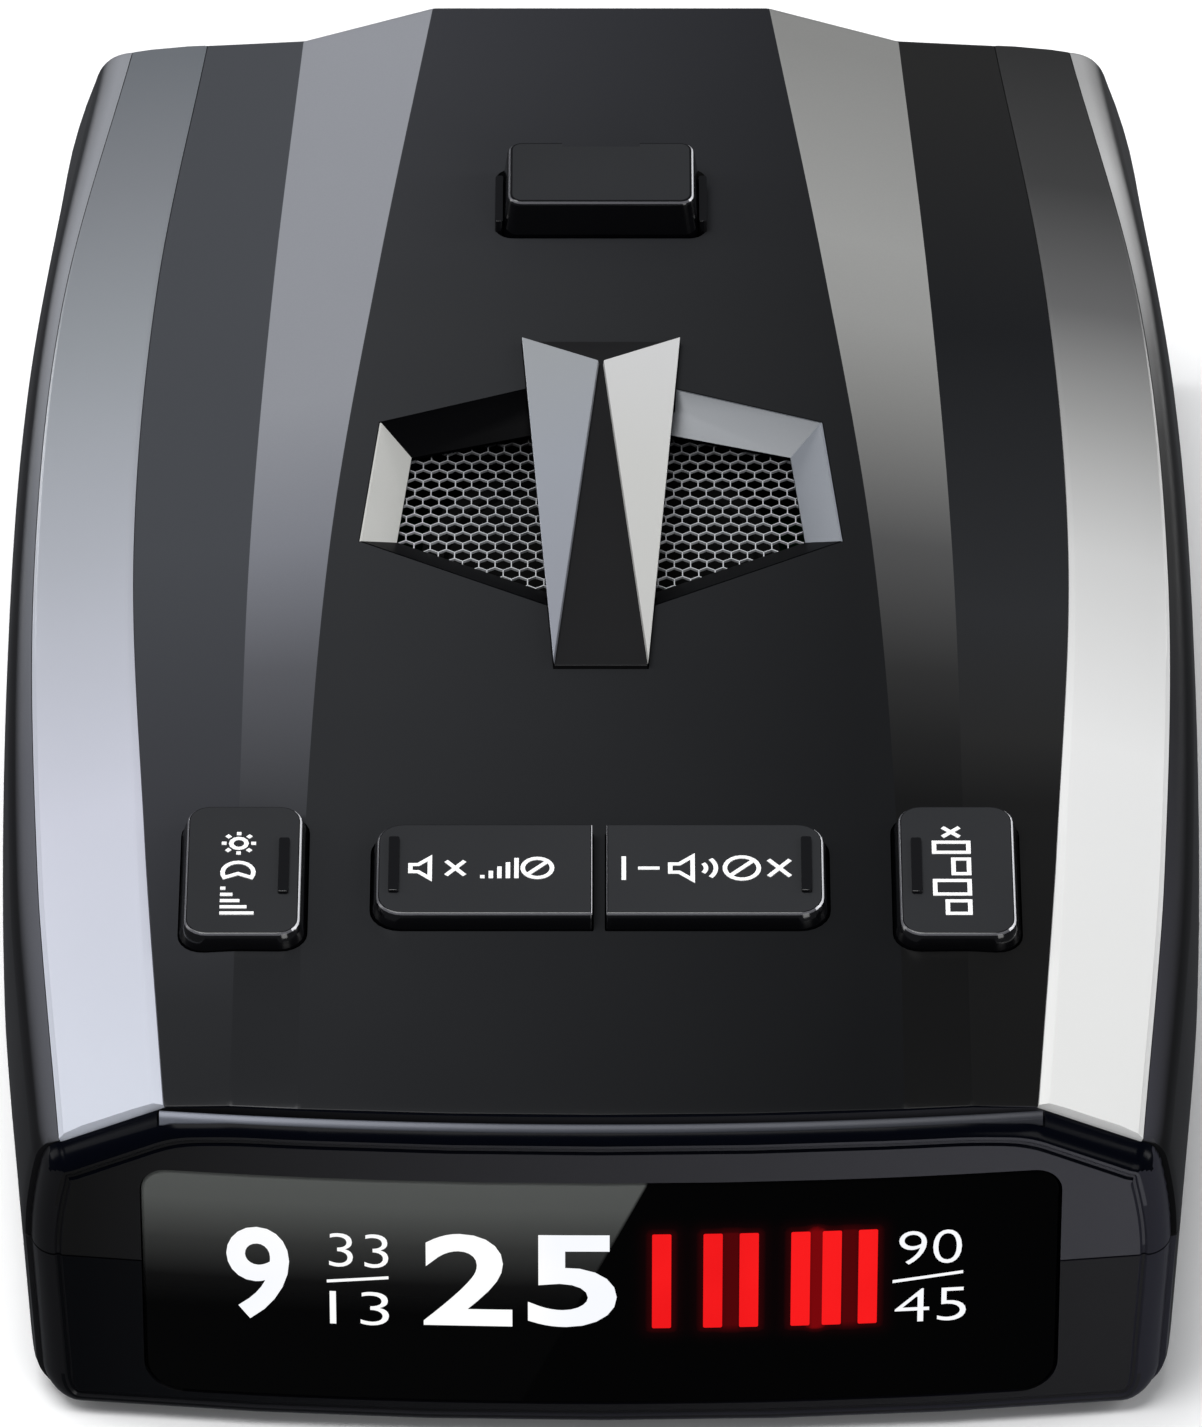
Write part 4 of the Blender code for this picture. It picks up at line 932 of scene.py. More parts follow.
def key_outline(name, grow):
    """A key's outline on the sloping top, from its own middle, grown by a share of its flare."""
    (left, right), (near, far) = KEYS[name]
    flare_left, flare_right, radius_left, radius_right = KEY_FORMS[name]
    middle_x, middle_y = (left + right) / 2, (near + far) / 2
    extra = max(0.0, grow - 1.0) * KEY_GAP
    share = min(1.0, grow)
    x_span = (left - middle_x - share * flare_left - extra, right - middle_x + share * flare_right + extra)
    y_span = (near - middle_y - share * 0.36 - extra, far - middle_y + share * 0.2 + extra)
    radii = (radius_right, radius_left, radius_left, radius_right)
    radii = [radius + (0.3 * share if radius > 0.5 else 0.0) for radius in radii]
    return plate(x_span, y_span, radii)


def key_place(name):
    (left, right), (near, far) = KEYS[name]
    return on_top((left + right) / 2, (near + far) / 2)


def on_panel(centre, normal):
    """Whether a face belongs to the flat panel round the display window."""
    return centre.y < FRONT_Y + 3.0 and normal.y < -0.93 and abs(centre.x) < PANEL_HALF_X


def surface_region(centre, normal):
    """The finish of a face on the top cover, from where it lies."""
    x, y, z = centre
    side = 1 if x > 0 else -1
    across = abs(x)
    back = y - fade(y) * face_sag(x)
    on_skin = normal.z > 0.45 and z > 12.0 and z > skin_z(across, back) - 0.35
    if on_panel(centre, normal):
        return "face_upper"
    if back < FRONT_Y + LIP_DEPTH + 0.06 and normal.y < 0.3:
        return "hood" if normal.z > 0.25 and across < PANEL_HALF_X + 0.4 else "lip"
    if normal.y > 0.6 and y > REAR_Y - 1.0:
        return "rear"
    if not on_skin:
        outer = across > stripe_x(y) - 0.3 or abs(normal.x) > 0.3 or y > REAR_Y - 1.0
        return ("side", side) if outer else "inside"
    if across < plateau_x(back):
        return "plateau"
    if across < foot_x(back):
        return ("facet", side)
    return ("shoulder", side) if across < stripe_x(back) - 0.05 else ("side", side)


def skin_z(across, y):
    """Height of the body's top surface, for |x| inside the stripe's outer edge."""
    inner, outer = stripe_edges(y)
    top = top_z(y)
    xs = (0.0, plateau_x(y), foot_x(y), inner[0], outer[0], belly_x(y))
    zs = (top, top, top - foot_drop(y), inner[1], outer[1], PARTING_Z)
    return float(np.interp(across, xs, zs))


def half_shell(name, cut_from, cut_to):
    """The hollow body with everything between two heights cut away."""
    shell = raw_object(name, fine_body())
    carve(shell, [hollow()])
    carve(shell, [box((-90, -90, cut_from), (90, 90, cut_to))])
    return shell


def make_top_cover():
    cover = half_shell("cover_top", -10, PARTING_Z + PARTING_GAP / 2)
    recess = recess_outline(1.004, 1.004)
    bridge = drawn_in(BRIDGE_PLAN, -0.1, -0.1)
    release = centred_plate(RELEASE_SIZE[0] + 0.9, RELEASE_SIZE[1] + 0.4, 1.1)
    cutters = [
        moved(prism(recess, -6.0, 3.0), on_top(0.0, 0.0)),
        moved(prism(release, -6.0, 4.0), on_top(0.0, RELEASE_Y)),
        window_prism(0.0, -60.0, -46.0),
        box((-SLOT_HALF_X, 47.0, SLOT_Z[0]), (SLOT_HALF_X, 60.0, SLOT_Z[1])),
        rear_window_prism(0.1, 47.0, 60.0),
        arc_band(HOOD_HALF_X + 0.15, *HOOD_GROOVE, FRONT_TOP_Z - 0.95, FRONT_TOP_Z + 2.0),
    ]
    for name in KEYS:
        cutters.append(moved(prism(key_outline(name, 2.0), -6.0, 4.0), key_place(name)))
    carve(cover, cutters)
    seats = [stripe_seat(side, TRIM_FRONT_Y - 0.06, TRIM_REAR_Y + 0.06) for side in (-1, 1)]
    carve(cover, seats + [moved(prism(bridge, BRIDGE_BASE - 0.1, 3.0), on_top(0.0, 0.0))])
    finishes = ["plateau", ("facet", -1), ("facet", 1), ("shoulder", -1), ("shoulder", 1)]
    finishes += [("side", -1), ("side", 1), "rear", "hood", "lip", "face_upper", "inside"]
    dress_up(cover, finishes, surface_region, 30.0)
    enlist(cover, HOUSING, ["top_cover"])


def make_bottom_cover():
    cover = half_shell("cover_bottom", PARTING_Z - PARTING_GAP / 2, 60)
    x, y, z = WHEEL_CENTRE
    label = centred_plate(LABEL_SIZE[0] + 0.3, LABEL_SIZE[1] + 0.3, 1.85)
    cutters = [
        window_prism(0.0, -60.0, -46.0),
        rear_window_prism(0.1, 47.0, 60.0),
        sideways(prism(circle(2.2, 40, JACK_PLACE), -40.0, -28.0)),
        box((x, y - 6.3, z - WHEEL_THICK / 2 - 0.3), (40.0, y + 6.3, z + WHEEL_THICK / 2 + 0.3)),
        prism(label, -1.0, 0.35),
    ]
    for place in SCREW_PLACES:
        cutters.append(prism(circle(2.25, 32, place), -1.0, 3.0))
    carve(cover, cutters)
    carve(cover, [prism(circle(14.0, 72, (48.4, y)), z - 2.6, z + 2.6)])
    wells = []
    for place in SCREW_PLACES:
        rings = []
        for height, radius in ((0.6, 2.55), (2.9, 2.55), (2.9, 2.25), (0.6, 2.25)):
            rings.append([(a, b, height) for a, b in circle(radius, 40, place)])
        wells.append(loft(rings, closed=True))
        wells.append(prism(circle(2.5, 40, place), 2.3, 2.9))

    def region(centre, normal):
        back = centre.y - face_sag(centre.x)
        if on_panel(centre, normal):
            return "face_lower"
        if back < FRONT_Y + LIP_DEPTH + 0.06 and normal.y < 0.3:
            return "lip"
        if normal.z < -0.9 and centre.z < 0.05:
            return "base"
        outward = abs(centre.x) > belly_x(centre.y) - 1.6 or abs(centre.y) > REAR_Y - 2.0 or centre.z < 1.2
        if outward and normal.y > 0.6:
            return "rear"
        return ("side", 1 if centre.x > 0 else -1) if outward else "inside"

    finishes = [("side", -1), ("side", 1), "rear", "lip", "face_lower", "base", "inside"]
    dress_up(cover, finishes, region, 30.0)
    enlist(cover, HOUSING, ["bottom_cover"])
    piece("screw_wells", joined(wells), "inside")


def make_stripes():
    """Silver side stripes: each stands a little proud of the body, more so towards the display."""
    for side, word in ((-1, "left"), (1, "right")):
        rings = []
        for y in np.linspace(TRIM_FRONT_Y, TRIM_REAR_Y, 70):
            inner, outer, run, up = stripe_frame(y)
            share = float(np.interp(y, (-45.0, 10.0, 46.0, 52.0), (1.0, 0.45, 0.1, 0.02)))
            corners = [inner - up * TRIM_THICK, inner + up * 0.02]
            corners += [inner + run * 0.42 * share + up * 0.30 * share]
            corners += [inner + run * (0.42 * share + 0.15) + up * (0.30 * share + 0.04)]
            width = (outer - inner).length
            corners += [inner + run * width * k + up * (0.30 * share + 0.10) for k in (0.25, 0.5, 0.75)]
            corners += [outer - run * (0.3 * share + 0.12) + up * (0.22 * share + 0.03)]
            corners += [outer - run * 0.3 * share + up * 0.16 * share, outer + up * 0.02]
            corners += [outer - up * TRIM_THICK]
            rings.append(on_side(side, corners, y))
        piece(
            f"side_stripe_{word}", loft(rings), ("stripe", side),
            stands_for=[word + "_side_trim"], smooth=24.0,
        )


def make_hood_line():
    """A thin line along the hood, leaning forward with the rounding of the display frame."""
    profile = [(0.62, -0.8), (0.62, -0.36), (0.68, -0.28), (0.95, -0.08)]
    profile += [(1.06, -0.08), (1.12, -0.14), (1.12, -0.8)]
    rings = []
    for x in np.linspace(-HOOD_HALF_X, HOOD_HALF_X, 61):
        y = FRONT_Y + face_sag(x)
        top = FRONT_TOP_Z - 0.02
        rings.append([(x, y + back, top + rise) for back, rise in profile])
    piece("hood_line", loft(rings), "line", stands_for=["hood_line_trim"], smooth=50.0)


# ---------------------------------------------------------------- display


def lens_grid(inset, depth, columns, rows):
    """Points of the lens's rounded outline as a grid on the face's arc, drawn in by inset."""
    half = WINDOW_HALF_X - 0.08 - inset
    low, high = WINDOW_Z[0] + 0.08 + inset, WINDOW_Z[1] - 0.08 - inset
    top, bottom = (radius - 0.08 - inset for radius in WINDOW_CORNERS)
    corner = max(top, bottom)
    xs = np.concatenate([
        -half + corner * (1 - np.cos(np.linspace(0, math.pi / 2, 9)[:-1])),
        np.linspace(-half + corner, half - corner, columns),
        half - corner * (1 - np.cos(np.linspace(math.pi / 2, 0, 9)[1:])),
    ])
    grid = []
    for x in xs:
        cuts = []
        for radius in (bottom, top):
            into = max(0.0, abs(x) - (half - radius))
            cuts.append(radius - math.sqrt(max(0.0, radius**2 - into**2)))
        for z in np.linspace(low + cuts[0], high - cuts[1], rows):
            grid.append((float(x), FRONT_Y + depth + face_sag(x), float(z)))
    return grid, len(xs)


def painted_bar_glow_at(x, z):
    """Strength of the painted red glow round the bars at a point of the lens."""
    total = 0.0
    for centre in BAR_CENTRES_X:
        away_x = max(0.0, abs(x - centre) - BAR_SIZE[0] / 2)
        away_z = max(0.0, abs(z - BAR_MIDDLE_Z) - BAR_SIZE[1] / 2)
        total += math.exp(-((away_x**2 + away_z**2) / 0.42))
    return min(1.0, 0.75 * total)


def make_lens():
    rows, columns = 46, 190
    front, count = lens_grid(0.16, 0.0, columns, rows)
    rim, _ = lens_grid(0.0, 0.16, columns, rows)
    back, _ = lens_grid(0.0, LENS_THICK, columns, rows)
    size = len(front)
    faces = []
    for layer, turned in ((0, False), (2, True)):
        for i in range(count - 1):
            for j in range(rows - 1):
                a = layer * size + i * rows + j
                face = (a, a + rows, a + rows + 1, a + 1)
                faces.append(face[::-1] if turned else face)
    edge = [i * rows for i in range(count)] + [(count - 1) * rows + j for j in range(1, rows)]
    edge += [i * rows + rows - 1 for i in range(count - 2, -1, -1)] + list(range(rows - 2, 0, -1))
    for layer in (0, 1):
        for k, here in enumerate(edge):
            there = edge[(k + 1) % len(edge)]
            a, b = layer * size + here, layer * size + there
            faces.append((a, a + size, b + size, b))
    points = front + rim + back
    used = sorted({i for face in faces for i in face})
    renumber = {old: new for new, old in enumerate(used)}
    mesh_data = [points[i] for i in used], [tuple(renumber[i] for i in face) for face in faces]
    lens = piece("display_window", mesh_data, "lens", stands_for=["display_lens"])
    # The painted red glow's strength at each front point of the lens.
    painted_bar_glow = lens.data.attributes.new("painted_bar_glow", "FLOAT", "POINT")
    for vertex, value in zip(lens.data.vertices, painted_bar_glow.data):
        front_side = vertex.co.y / MM < FRONT_Y + 0.1 + face_sag(vertex.co.x / MM)
        value.value = painted_bar_glow_at(vertex.co.x / MM, vertex.co.z / MM) if front_side else 0.0


def on_face(points_xz, proud, thick):
    """Rings of a flat shape laid on the lens's arc, from thick behind it to proud in front."""
    return [
        [(x, FRONT_Y + face_sag(x) - rise, z) for x, z in points_xz] for rise in (-thick, proud)
    ]


def make_bars():
    """Six lit bars, flush in the lens's face; the plate that carries the light to them is a CAD node."""
    shapes = []
    for x in BAR_CENTRES_X:
        outline = centred_plate(*BAR_SIZE, 0.1, (x, BAR_MIDDLE_Z), 3)
        shapes.append(loft(on_face(outline, 0.02, 1.2)))
    piece("display_bars", joined(shapes), "red_light")


def text_outline(text, bold):
    """A flat mesh of figures from Blender's own font, as (points, faces) in a box from 0 to 1."""
    curve = bpy.data.curves.new("figures", "FONT")
    curve.body = text
    curve.offset = bold
    curve.resolution_u = 5
    curve.extrude = 0.1
    obj = bpy.data.objects.new("figures", curve)
    bpy.context.scene.collection.objects.link(obj)
    graph = bpy.context.evaluated_depsgraph_get()
    mesh = bpy.data.meshes.new_from_object(obj.evaluated_get(graph))
    points = np.array([v.co for v in mesh.vertices])
    faces = [tuple(p.vertices) for p in mesh.polygons]
    bpy.data.objects.remove(obj)
    bpy.data.meshes.remove(mesh)
    low, high = points.min(0), points.max(0)
    return (points - low) / (high - low), faces


# Figures on the display: text, x span, z span, boldness
FIGURES = (
    ("9", (-21.5, -17.9), (7.75, 14.5), 0.02),
    ("33", (-15.6, -12.2), (11.85, 14.3), -0.012),
    ("13", (-15.6, -12.2), (7.6, 10.05), -0.012),
    ("2", (-10.2, -5.1), (7.75, 14.5), 0.02),
    ("5", (-4.2, 0.9), (7.75, 14.5), 0.02),
    ("90", (17.1, 20.7), (11.85, 14.3), -0.012),
    ("45", (16.9, 21.0), (7.6, 10.05), -0.012),
)
RULES = (((-15.75, 10.65), (-12.2, 11.05)), ((16.75, 10.55), (20.8, 11.05)))


def make_figures():
    shapes = []
    for text, x_span, z_span, bold in FIGURES:
        points, faces = text_outline(text, bold)
        placed = []
        for u, v, w in points:
            x = x_span[0] + u * (x_span[1] - x_span[0])
            z = z_span[0] + v * (z_span[1] - z_span[0])
            placed.append((x, FRONT_Y + face_sag(x) + 0.03 - 0.05 * w, z))
        shapes.append((placed, faces))
    for (x0, z0), (x1, z1) in RULES:
        outline = ((x0, z0), (x1, z1), (x1, z1 + 0.2), (x0, z0 + 0.2))
        shapes.append(loft(on_face(outline, 0.02, 0.03)))
    piece("display_figures", joined(shapes), "white_light")


# ---------------------------------------------------------------- keys


def stroke(path, width, rise, closed=False):
    """A flat line of this width along a path of (x, y) points, standing rise high."""
    points = [Vector(p) for p in path]
    count = len(points)
    left, right = [], []
    for i, here in enumerate(points):
        before = points[i - 1] if closed or i else here - (points[1] - here)
        after = points[(i + 1) % count] if closed or i < count - 1 else here + (here - points[i - 1])
        runs = [(here - before).normalized(), (after - here).normalized()]
        normals = [Vector((-run.y, run.x)) for run in runs]
        miter = (normals[0] + normals[1]) / max(0.35, 1 + normals[0].dot(normals[1]))
        left.append(here + miter * width / 2)
        right.append(here - miter * width / 2)
    rings = []
    for a, b in zip(left, right):
        rings.append([(a.x, a.y, 0.0), (b.x, b.y, 0.0), (b.x, b.y, rise), (a.x, a.y, rise)])
    return loft(rings, closed)


def arc(centre, radius, start, end, steps=8):
    angles = np.radians(np.linspace(start, end, steps + 1))
    return [(centre[0] + radius * math.cos(a), centre[1] + radius * math.sin(a)) for a in angles]


def speaker_icon(x):
    """Outline of a small loudspeaker whose back is at x."""
    return [(x, -0.35), (x + 0.5, -0.35), (x + 1.25, -1.0), (x + 1.25, 1.0), (x + 0.5, 0.35), (x, 0.35)]


def moved_lines(lines, shift_x, scale=1.0):
    return [([(shift_x + scale * x, scale * y) for x, y in path], closed) for path, closed in lines]


def sun_icon():
    lines = [(arc((0.0, 0.0), 0.45, 0, 330, 11), True)]
    for k in range(8):
        a = k * math.pi / 4
        lines.append(([(reach * math.cos(a), reach * math.sin(a)) for reach in (0.72, 1.0)], False))
    return lines


def house_icon(x, width, height):
    """A building's outline, standing on the line y = -1."""
    return [([(x, -1.0), (x, height), (x + width, height), (x + width, -1.0)], True)]


def legend_lines(name):
    """Strokes of each key's plain symbol, as (path, closed), across its own middle."""
    cross = [([(-0.6, -0.7), (0.6, 0.7)], False), ([(-0.6, 0.7), (0.6, -0.7)], False)]
    ring = [(arc((0.0, 0.0), 0.95, 0, 345, 22), True), ([(-0.68, -0.68), (0.68, 0.68)], False)]
    speaker = [(speaker_icon(-0.6), True)]
    levels = [([(0.55 * k, -1.0), (0.55 * k, -0.7 + 0.42 * k)], False) for k in range(5)]
    if name == "dim":
        half_moon = [(arc((0.0, 0.0), 0.9, 60, 300, 14) + [(0.1, 0.0)], True)]
        return moved_lines(sun_icon(), -2.5) + moved_lines(half_moon, 0.1) + moved_lines(levels, 1.5)
    if name == "mute":
        row = moved_lines(speaker, -3.6) + moved_lines(cross, -1.3)
        return row + moved_lines(levels, 0.45) + moved_lines(ring, 4.0)
    if name == "imute":
        lead = [([(-4.4, -1.0), (-4.4, 1.0)], False), ([(-3.6, 0.0), (-2.4, 0.0)], False)]
        waves = [(arc((-0.1, 0.0), r, -42, 42), False) for r in (0.6, 1.15)]
        row = lead + moved_lines(speaker, -1.2) + moved_lines(waves, -0.3)
        return row + moved_lines(ring, 2.2) + moved_lines(cross, 4.3)
    blocks = house_icon(-3.6, 1.1, 0.3) + house_icon(-1.9, 1.2, 1.0) + house_icon(-0.1, 1.3, -0.1)
    return blocks + house_icon(1.8, 0.9, 1.0) + moved_lines(cross, 3.6, 0.7)


LEGEND_TURN = {"dim": -90.0, "mute": 0.0, "imute": 0.0, "city": 90.0}
LEGEND_SHIFT = {"dim": (-0.3, -0.2), "mute": (-0.55, 0.0), "imute": (-0.7, 0.0), "city": (-0.3, -0.3)}
LEGEND_SCALE = {"dim": 1.0, "mute": 0.9, "imute": 1.04, "city": 1.0}
LEGEND_WIDTH = 0.26
RIB_SIZE = (0.62, 4.8, 0.22)
RIB_SIDE = {"dim": 1, "mute": -1, "imute": 1, "city": -1}


def cap_rings(outline_at, low, proud, round_radius):
    """Rings of a key cap: straight below the surface, drafted above it, rounded at the top."""
    rings = [[(x, y, low) for x, y in outline_at(1.0)], [(x, y, 0.0) for x, y in outline_at(1.0)]]
    top = proud - round_radius
    rings.append([(x, y, top) for x, y in outline_at(0.12)])
    for k in (1, 2, 3):
        angle = k * math.pi / 6
        inset = round_radius * (1 - math.cos(angle))
        ring = drawn_in(outline_at(0.0)[::-1], inset, inset)[::-1]
        rings.append([(x, y, top + round_radius * math.sin(angle)) for x, y in ring])
    return rings


KEY_FINISHES = ["key_top", "key_wall"] + [("key_edge", place) for place in ("left", "right", "near", "far")]


def cap_region(place):
    """Chooses a cap's finishes: its flat top, its walls, or the edge between them, which carries a painted
    highlight whose tone depends on the side it faces.
    """
    inverse = place.inverted().to_3x3()

    def region(centre, normal):
        x, y, z = inverse @ normal
        if z > 0.97:
            return "key_top"
        if not 0.55 < z < 0.85:
            return "key_wall"
        if abs(y) > abs(x):
            return "key_edge", "near" if y < 0 else "far"
        return "key_edge", "left" if x < 0 else "right"

    return region


def make_keys():
    for name, (x_span, y_span) in KEYS.items():
        place = key_place(name)
        body = name + "_key"
        half_x, half_y = (x_span[1] - x_span[0]) / 2, (y_span[1] - y_span[0]) / 2
        low = -KEY_FLANGE_DEPTH
        reach_y = half_y + KEY_FLANGE
        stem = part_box(name + "_button")[0].z / MM - place.translation.z
        shapes = [
            loft(cap_rings(lambda grow: key_outline(name, grow), low, KEY_PROUD, KEY_ROUND)),
            box((-half_x, -reach_y, low), (half_x, reach_y, low + KEY_FLANGE_THICK)),
            box((-KEY_STEM_HALF, -KEY_STEM_HALF, stem), (KEY_STEM_HALF, KEY_STEM_HALF, low + 0.3)),
        ]
        piece(f"{name}_cap", joined(shapes), KEY_FINISHES, body,
              [name + "_button"], cap_region(place), 30.0, place=place)
        rib_x = RIB_SIDE[name] * (half_x - 0.95)
        rib_outline = centred_plate(RIB_SIZE[0], RIB_SIZE[1], 0.1, (rib_x, 0.25), 2)
        rib = prism(rib_outline, KEY_PROUD - 0.2, KEY_PROUD + RIB_SIZE[2])
        piece(f"{name}_rib", rib, "key_wall", body, bevel=0.06, place=place)
        turn = Matrix.Rotation(math.radians(LEGEND_TURN[name]), 4, "Z")
        shift = Matrix.Translation((*LEGEND_SHIFT[name], KEY_PROUD - 0.01))
        scale = LEGEND_SCALE[name]
        strokes = []
        for index, (path, closed) in enumerate(legend_lines(name)):
            scaled = [(x * scale, y * scale) for x, y in path]
            strokes.append(stroke(scaled, LEGEND_WIDTH, 0.04 + 0.002 * index, closed))
        piece(f"{name}_legend", joined(strokes), "print", body, place=place @ shift @ turn)


def make_release():
    place = on_top(0.0, RELEASE_Y)
    half_x, half_y = RELEASE_SIZE[0] / 2, RELEASE_SIZE[1] / 2

    def outline_at(grow):
        return centred_plate(2 * (half_x - 0.35 + 0.35 * grow), 2 * (half_y - 0.2 + 0.2 * grow), 0.85)

    low = -(WALL + 1.1)
    notch = box((-2.4, half_y - 0.75, RELEASE_PROUD - 0.55), (2.4, 8.0, 6.0))
    piece("release_cap", loft(cap_rings(outline_at, low, RELEASE_PROUD, RELEASE_ROUND)), KEY_FINISHES,
          "bracket_release", ["release_button"], cap_region(place), 30.0, place=place,
          cuts=[moved(notch, place)])
    reach_x, reach_y = RELEASE_FLANGE
    lugs = [box((-reach_x, -reach_y, low), (reach_x, reach_y, low + 0.8))]
    for side in (-1, 1):
        outline = centred_plate(0.5, 4.6, 0.15, (side * (half_x + 0.2), -0.6), 3)
        lugs.append(prism(outline, low + 0.4, 0.9))
    piece("release_lugs", joined(lugs), "key_wall", "bracket_release", bevel=0.08, place=place)


# ---------------------------------------------------------------- speaker and badge


def make_bezel():
    """The faceted frame of the speaker recess, each wall with its own painted tone of light and shade."""
    place = on_top(0.0, 0.0)
    outer, inner = mirrored_outline(RECESS_OUTER), mirrored_outline(RECESS_INNER)
    rim = recess_outline(0.992, 0.992)
    rings = [
        [(x, y, -0.03) for x, y in outer], [(x, y, -0.03) for x, y in rim],
        [(x, y, -RECESS_DEPTH) for x, y in inner], [(x, y, -RECESS_DEPTH - 0.2) for x, y in inner],
        [(x, y, -RECESS_DEPTH - 0.2) for x, y in outer],
    ]
    inverse = place.inverted()

    # Painted light and shade by wall: left walls the painted highlight, right walls a duller tone, the far
    # right wall dimmer, and the far left wall, the near walls and upright faces painted black shade.
    def region(centre, normal):
        x, y = (inverse @ centre).xy
        sloping = (inverse.to_3x3() @ normal).z > 0.15
        far_side = y > 10.2 - 0.1 * abs(x) and abs(x) < 12.6
        near_side = y < 0.8 + 0.04 * abs(x) and abs(x) <= 13.9
        if not sloping:
            return "bezel_black"
        if far_side and y > 9.0:
            return "bezel_dim" if x > 0 else "bezel_black"
        if y < 0.3 or near_side:
            return "bezel_black"
        return "bezel_light" if x < 0 else "bezel_mid"

    finishes = ["bezel_light", "bezel_mid", "bezel_dim", "bezel_black"]
    bridge = prism(drawn_in(BRIDGE_PLAN, -0.1, -0.1), BRIDGE_BASE - 0.1, 3.0)
    piece("bezel_ring", loft(rings, closed=True), finishes,
          stands_for=["speaker_bezel"], pick=region, smooth=20.0, place=place, cuts=[moved(bridge, place)])


def inside_outline(x, y, outline):
    """Whether a point lies inside a convex outline listed clockwise."""
    for (ax, ay), (bx, by) in zip(outline, outline[1:] + outline[:1]):
        if (bx - ax) * (y - ay) - (by - ay) * (x - ax) > 0:
            return False
    return True


def make_grille():
    """Expanded steel mesh: hexagonal cells whose wires share their outer corners."""
    edge = recess_outline(0.975, 0.97)
    row_step = CELL_PITCH * math.sqrt(3) / 2
    outer_radius = CELL_PITCH / math.sqrt(3)
    inner_radius = outer_radius - CELL_WIRE / 2 / math.cos(math.pi / 6)
    high = -(RECESS_DEPTH + 0.32)
    low = high - 0.16
    wire = ((outer_radius, high), (inner_radius, high), (inner_radius, low), (outer_radius, low))
    corners = [math.radians(30 + 60 * k) for k in range(6)]
    index, points, faces = {}, [], []

    def vertex(x, y, z):
        key = (round(x * 50), round(y * 50), round(z * 50))
        if key not in index:
            index[key] = len(points)
            points.append((x, y, z))
        return index[key]

    for row in range(-15, 25):
        for column in range(-17, 18):
            x = (column + 0.5 * (row % 2)) * CELL_PITCH
            y = row * row_step
            if not inside_outline(x, y, edge):
                continue
            rings = []
            for radius, z in wire:
                ring = [vertex(x + radius * math.cos(a), y + radius * math.sin(a), z) for a in corners]
                rings.append(ring)
            for a, b in zip(rings, rings[1:]):
                for k in range(6):
                    m = (k + 1) % 6
                    faces.append((a[k], a[m], b[m], b[k]))
    piece("grille_mesh", (points, faces), "wire", stands_for=["speaker_grille"],
          smooth=20.0, place=on_top(0.0, 0.0))


def make_badge():
    """The plain twin-wedge trim across the grille: a black bridge with two silver blades."""
    place = on_top(0.0, 0.0)
    low_ring = [(x, y, BRIDGE_BASE) for x, y in BRIDGE_PLAN]
    high_ring = [(x, y, BRIDGE_RIM) for x, y in BRIDGE_PLAN]
    apex = (0.0, BRIDGE_APEX_Y, BRIDGE_RIM + BRIDGE_RISE)
    faces = [(0, 1, 2, 3), (0, 1, 5, 4), (1, 2, 6, 5), (2, 3, 7, 6), (3, 0, 4, 7)]
    faces += [(4, 5, 8), (5, 6, 8), (6, 7, 8), (7, 4, 8)]
    piece("badge_bridge", (low_ring + high_ring + [apex], faces), "bridge",
          stands_for=["grille_bridge"], smooth=8.0, bevel=0.03, place=place)
    # Each blade takes its own painted tone of light and shade.
    for side, word in ((-1, "left"), (1, "right")):
        corner = Vector((side * BRIDGE_PLAN[1][0], BRIDGE_PLAN[1][1], BRIDGE_RIM))
        tip = Vector((side * BRIDGE_PLAN[2][0], BRIDGE_PLAN[2][1], BRIDGE_RIM))
        peak = Vector(apex)
        normal = (peak - corner).cross(tip - corner).normalized()
        normal = normal if normal.z > 0 else -normal
        outline = (peak + Vector((side * 0.10, 0.0, 0.0)), corner, tip)
        rings = [[tuple(p + normal * rise) for p in outline] for rise in (0.03, 0.28 + BLADE_THICK)]
        piece(f"badge_blade_{word}", loft(rings), ("blade", side),
              stands_for=[word + "_blade"], smooth=20.0, bevel=0.05, place=place)


# ---------------------------------------------------------------- underside and sides


def make_screws():
    """Cross-head screws, sunk into the base."""
    for number, (x, y) in enumerate(SCREW_PLACES, 1):
        profile = [(0.02, 0.5), (1.3, 0.5), (1.65, 0.62), (1.86, 0.85), (1.9, 1.1), (1.9, 2.1), (0.9, 2.1)]
        profile += [(0.9, 15.3), (0.5, 16.2), (0.02, 16.3)]
        rings = [[(x + a, y + b, z) for a, b in circle(r, 32)] for r, z in profile]
        turn = Matrix.Translation((x, y, 0.0)) @ Matrix.Rotation(0.3 + 0.7 * number, 4, "Z")
        cross = [moved(box((-1.15, -0.22, -1.0), (1.15, 0.22, 1.35)), turn)]
        cross.append(moved(box((-0.22, -1.15, -1.0), (0.22, 1.15, 1.35)), turn))
        piece(f"case_screw_{number}", loft(rings), "steel",
              stands_for=[f"housing_screw_{number}"], smooth=30.0, cuts=cross, overlapping=True)


def make_label():
    outline = centred_plate(LABEL_SIZE[0], LABEL_SIZE[1], 1.7, steps=10)
    piece("base_label", prism(outline, 0.1, 0.3), "foil",
          stands_for=["rating_label"], bevel=0.03)
    border = centred_plate(LABEL_SIZE[0] - 2.4, LABEL_SIZE[1] - 2.4, 0.9, steps=6)
    piece("base_label_border", stroke(border, 0.3, 0.03, closed=True), "inside",
          place=Matrix.Translation((0.0, 0.0, 0.08)))


